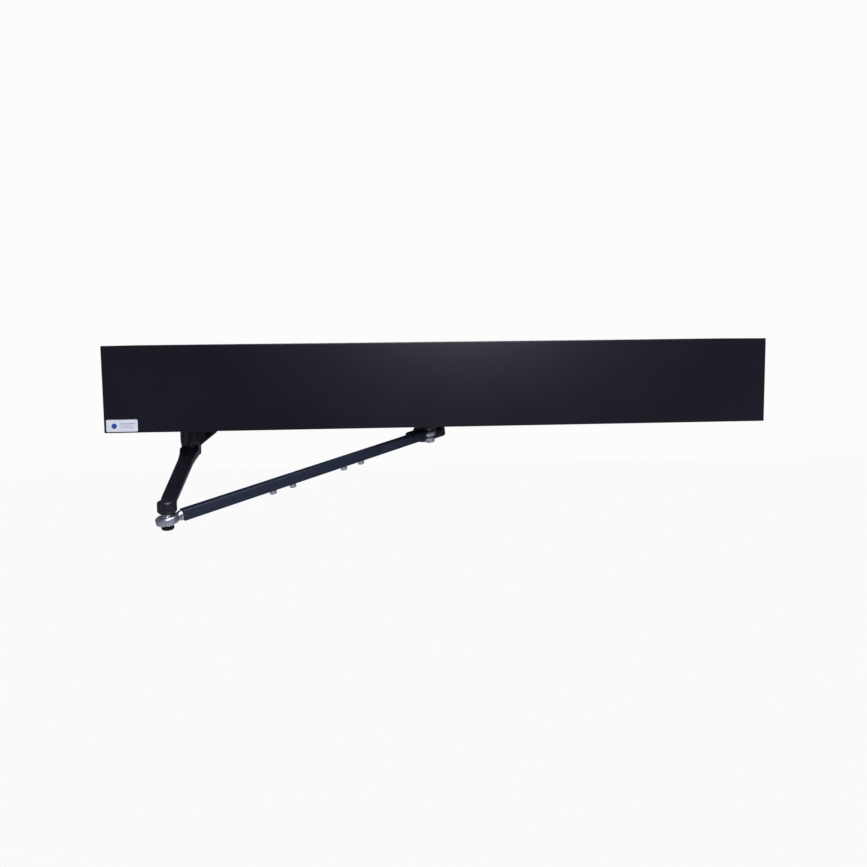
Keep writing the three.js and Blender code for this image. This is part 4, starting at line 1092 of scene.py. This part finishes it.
def along(line, x):  # reads a value off a list of points
    for (x0, v0), (x1, v1) in zip(line, line[1:]):
        if x <= x1:
            return v0 + (v1 - v0) * (x - x0) / (x1 - x0)
    return line[-1][1]


def armBladeShape():
    a = arm
    stations = [0, 8, 14, 17, 19, 21, 23, 25, 27, 29, 31, 33, 36, 42] + list(range(54, 200, 12))
    stations += [200, 206, 209, 212, 217, a["length"]]
    rings = []
    for x in stations:
        top = along(a["top"], x)
        low = along(a["low"], x)
        half = along(a["half"], x)
        soft = min(a["soft"], (top - low) * 0.34)
        section = roundedBox(2 * half, top - low, soft, 4, 0, (top + low) / 2)
        # a forging leaves its die with sides that lean in towards the underside
        rings.append([(x, y * (1 - a["draft"] / half * (top - z) / (top - low)), z) for y, z in section])
    return lofted(rings)


def makeMainArm():
    a = arm
    cone = a["coneRadius"]
    blade = armBladeShape()
    hub = turned([
        (0, a["hubLow"] - 6), (cone, a["hubLow"] - 6), (cone, a["hubLow"]), (a["hubRadius"], a["hubLow"] + 7),
        (a["hubRadius"], a["hubTop"] - 1), (a["hubRadius"] - 1, a["hubTop"]), (0, a["hubTop"])], 64)
    root = turned([(0, -42), (cone - 2.2, -42), (cone, -39.8), (cone, -26), (0, -26)], 56)
    reach = a["lugReach"]
    lug = raised([(0, -3.5), (0, -27.5), (cone, -27.5), (reach, -9), (reach, -3.5)], -9, 9)
    moved(lug, outlineOnYz)
    chamfer = 2.5
    boss = turned([
        (0, -a["drop"] - a["bossTall"]), (a["bossRadius"] - chamfer, -a["drop"] - a["bossTall"]),
        (a["bossRadius"], -a["drop"] - a["bossTall"] + chamfer), (a["bossRadius"], -a["drop"] - 1.5),
        (a["bossRadius"] - 1.5, -a["drop"]), (0, -a["drop"])], 56)
    moved(boss, shift(a["length"], 0, 0))
    combined(blade, [root, hub, lug, boss], "UNION")
    skin = blade.modifiers.new("forging", "REMESH")
    skin.mode = "VOXEL"
    skin.voxel_size = a["grain"]
    skin.adaptivity = 0
    ease = blade.modifiers.new("soften", "SMOOTH")
    ease.factor = 0.5
    ease.iterations = 5
    flattened(blade)
    bore = turned([(0, -27.3), (8.3, -27.3), (8.3, 1), (0, 1)], 48)
    boltHole = turned([(0, -60), (4.6, -60), (4.6, 0), (0, 0)], 40)
    slot = block(-1.5, 1.5, 0, 34, -27.5, 1)
    pinch = moved(turned([(0, -12), (2.8, -12), (2.8, 12), (0, 12)], 32),
                  shift(0, 25, -12) @ alongX)
    elbowHole = moved(turned([(0, -73), (4.3, -73), (4.3, -60.7), (0, -60.7)], 40),
                      shift(a["length"], 0, 0))
    hubFace = block(-30, 30, -30, 40, a["hubTop"] - 0.25, 5)
    combined(blade, [hubFace, bore, boltHole, slot, pinch, elbowHole])
    settled(blade, "mainArm", "arm", "enamel", ["main_arm"], armFrame, angle=50)


makeMainArm()
print("main arm ready")


rod = {  # local x runs from ball to ball
    "yaw": 36.8, "tilt": 9, "length": 390, "square": 12.7, "wall": 2, "corner": 0.9,
    "start": 17, "channelEnd": 295, "barEnd": 379.5, "firstScrew": 131, "screwStep": 28, "pairStep": 106,
    "travel": 20,
}
elbowFrame = (
    armFrame
    @ shift(arm["length"], 0, -78.55)
    @ Matrix.Rotation(math.radians(rod["yaw"] - arm["yaw"]), 4, "Z")
)
rodFrame = elbowFrame @ Matrix.Rotation(math.radians(-rod["tilt"]), 4, "Y")
shoeFrame = rodFrame @ shift(rod["length"], 0, 0)
elbowJoint = {"head": 12.9, "thick": 9, "ball": 8.6, "neck": 6.4, "half": 7, "bore": 4.3,
              "shank": 4.7, "reach": 47, "collar": 5.9, "collarEnd": 16.7}
shoeJoint = {"head": 9.4, "thick": 8, "ball": 6.6, "neck": 4.3, "low": -6.2, "high": 7.4, "bore": 3.3,
             "shank": 4, "reach": 40.5, "collar": 5, "collarEnd": 10.2}


def ballShape(radius, low, high, neck, bore):
    end = math.degrees(math.acos(neck / radius))
    outline = [(bore, low), (neck - 0.3, low), (neck, low + 0.3)]
    outline += arcPoints(0, 0, radius, -end, end, 20)
    outline += [(neck, high - 0.3), (neck - 0.3, high), (bore, high)]
    return turned(outline, 64)


def rodEndShape(joint, play=0.35):
    socket = joint["ball"] + play
    reach = joint["thick"] / 2
    head = joint["head"]
    span = math.degrees(math.asin(reach / socket))
    outline = arcPoints(0, 0, socket, -span, span, 12)
    outline += rounded([(socket * math.cos(math.radians(span)) + 0.01, reach), (head - 1.6, reach),
                        (head, reach - 1.6), (head, 1.6 - reach), (head - 1.6, -reach),
                        (socket * math.cos(math.radians(span)) + 0.01, -reach)], 0.9, 3)[1:-1]
    eye = turned(outline, 80)
    shank = joint["shank"]
    collar = joint["collar"]
    end = joint["collarEnd"]
    neck = []  # the forging narrows from the eye to a round collar, and the threaded shank goes on from it
    for x, wide, tall in ((head - 2.6, collar * 1.35, reach * 0.9), (head - 1.2, collar * 1.22, reach * 0.98),
                          (head + 0.2, collar * 1.08, collar * 0.92), (head + 1.4, collar, collar),
                          (end - 0.3, collar, collar), (end, collar - 0.3, collar - 0.3),
                          (end, shank, shank), (joint["reach"], shank, shank)):
        turns = [2 * math.pi * i / 40 for i in range(40)]
        neck.append([(x, wide * math.cos(t), tall * math.sin(t)) for t in turns])
    return combined(eye, [lofted(neck)], "UNION")


def makeElbow():
    e = elbowJoint
    ball = ballShape(e["ball"], -e["half"], e["half"], e["neck"], e["bore"])
    settled(ball, "elbowBall", "elbow", "zinc", ["elbow_ball"], elbowFrame)
    eye = rodEndShape(e)
    settled(eye, "elbowRodEnd", "rod", "zinc", ["elbow_rod_end"], rodFrame)


def squareStock(half, corner, start, end):
    bar = raised(roundedBox(2 * half, 2 * half, corner, 4), start, end)
    return moved(bar, alongX)


def makeRod():
    r = rod
    half = r["square"] / 2
    inner = half - r["wall"]
    channel = squareStock(half, r["corner"], r["start"], r["channelEnd"])
    cutters = [squareStock(inner, 0.4, 59, r["channelEnd"] + 1)]
    thread = turned([(0, r["start"] - 1), (5, r["start"] - 1), (5, 49), (0, 49)], 40)
    cutters.append(moved(thread, alongX))
    reach = 3.0
    for pair in (0, 1):
        x0 = r["firstScrew"] + pair * r["pairStep"]
        x1 = x0 + r["screwStep"] + r["travel"]
        ends = arcPoints(x1, 0, reach, -90, 90, 10) + arcPoints(x0, 0, reach, 90, 270, 10)
        cutters.append(raised(ends, -half - 1, -inner + 1))
    combined(channel, cutters)
    eased(channel, 0.3, 2, 40)
    settled(channel, "rodChannel", "rod", "rod", ["rod_channel"], rodFrame)

    slide = inner - 0.3
    bar = squareStock(slide, 0.3, 87, r["channelEnd"] + 1)
    outer = squareStock(half, r["corner"], r["channelEnd"] + 0.3, r["barEnd"])
    eased(outer, 0.3, 2, 40)
    combined(bar, [outer], "UNION")
    thread = turned([(0, 347.5), (4.3, 347.5), (4.3, 381), (0, 381)], 40)
    hole = turned([(0, -half - 1), (2.3, -half - 1), (2.3, slide - 1.5), (0, slide - 1.5)], 28)
    holes = repeated(hole, "rod", count=2, step=(r["screwStep"], 0, 0), rows=2,
                     rowStep=(r["pairStep"], 0, 0))
    moved(holes, shift(r["firstScrew"], 0, 0))
    combined(bar, [moved(thread, alongX), holes])
    settled(bar, "rodBar", "rod_tip", "rod", ["rod_bar"], rodFrame)

    screw = screwShape(4.3, 5, 2.0, half + slide - 2.4, 0.2, 0.8)
    moved(screw, headDown)
    screws = repeated(screw, "zinc", count=2, step=(r["screwStep"], 0, 0), rows=2,
                      rowStep=(r["pairStep"], 0, 0))
    settled(screws, "clampScrews", "rod_tip", "zinc",
            [f"clamp_screw_{i}" for i in (1, 2, 3, 4)],
            matrix=rodFrame @ shift(r["firstScrew"], 0, -half - 0.3))


makeElbow()
makeRod()
print("elbow and rod ready")


shoe = {"left": 30, "right": 43, "top": 6, "bottom": 16, "back": (14, 19), "tongue": (7.7, 11.5),
        "tongueRadius": 12, "corner": 4, "bevel": (30, 9), "screws": (-21, 33), "screwZ": -4}


def makeShoe():
    s = shoe
    j = shoeJoint
    ball = ballShape(j["ball"], j["low"], j["high"], j["neck"], j["bore"])
    settled(ball, "shoeBall", "shoe_joint", "zinc", ["shoe_ball"], shoeFrame)
    eye = rodEndShape(shoeJoint)
    settled(eye, "shoeRodEnd", "rod_tip", "zinc", ["shoe_rod_end"],
            shoeFrame @ Matrix.Rotation(math.pi, 4, "Z"))
    c = s["corner"]
    low, high = s["tongue"]
    t = s["tongueRadius"]
    outline = (
        [(-s["left"], s["bevel"][1] - s["bottom"]), (s["bevel"][0] - s["left"], -s["bottom"])]
        + arcPoints(s["right"] - c, -s["bottom"] + c, c, 270, 360, 8)
        + arcPoints(s["right"] - c, s["top"] - c, c, 0, 90, 8)
        + [(t + 3, s["top"]), (t, s["top"] + 3), (t, high), (-t, high), (-t, s["top"] + 3), (-t - 3, s["top"])]
        + arcPoints(-s["left"] + c, s["top"] - c, c, 90, 180, 8)
    )
    plate = raised(outline, s["back"][0], s["back"][1])
    moved(plate, outlineOnXz)
    nose = [(t, s["back"][0] + 1), (-t, s["back"][0] + 1)] + arcPoints(0, 0, t, 180, 360, 28)
    tongue = raised(nose, low, high)
    combined(plate, [tongue], "UNION")
    bore = turned([(0, low - 1), (3, low - 1), (3, high + 1), (0, high + 1)], 36)
    cutters = [bore]
    for x in s["screws"]:
        hole = turned([(0, 13), (2.9, 13), (2.9, 20), (0, 20)], 32)
        cutters.append(moved(hole, shift(x, 0, s["screwZ"]) @ alongY))
    combined(plate, cutters)
    eased(cleaned(plate, 0.3), 0.7, 3, 40)
    settled(plate, "doorShoe", "shoe", "enamel", ["door_shoe"], shoeFrame)
    screw = screwShape(4.6, 2.6, 2.6, 5, 0.5)
    moved(screw, Matrix.Rotation(math.pi / 2, 4, "X"))
    pair = repeated(screw, "blacked", count=2,
                    step=(s["screws"][1] - s["screws"][0], 0, 0))
    settled(pair, "shoeScrews", "shoe", "blacked", ["shoe_screw_1", "shoe_screw_2"],
            shoeFrame @ shift(s["screws"][0], s["back"][0] - 0.3, s["screwZ"]))


loneScrews = {  # name, body, finish, (head radius and height, shank radius and length, crown), place
    "transformer_bolt": ("transformerBolt", "housing", "zinc", (6, 6, 3, 46),
                         transformerFrame @ shift(0, 0, transformer["tall"] + 2.6)),
    "spindle_bolt": ("spindleBolt", "arm", "blacked", (6.5, 5, 3.9, 26),
                     armFrame @ shift(0, 0, -42.3) @ headDown),
    "pinch_bolt": ("pinchBolt", "arm", "blacked", (4.2, 5, 2.4, 17), armFrame @ shift(9.3, 25, -12) @ alongX),
    "elbow_screw": ("elbowScrew", "arm", "blacked", (7, 4.5, 3.9, 22.5, 0.6),
                    elbowFrame @ shift(0, 0, -7.3) @ headDown),
    "shoe_pivot_screw": ("shoePivotScrew", "shoe", "zinc", (7, 7.5, 2.7, 16.9),
                         shoeFrame @ shift(0, 0, -6.5) @ headDown),
}

makeShoe()
for node, (name, body, kind, sizes, place) in loneScrews.items():
    settled(screwShape(*sizes), name, body, kind, [node], place)
print("shoe and single screws ready")
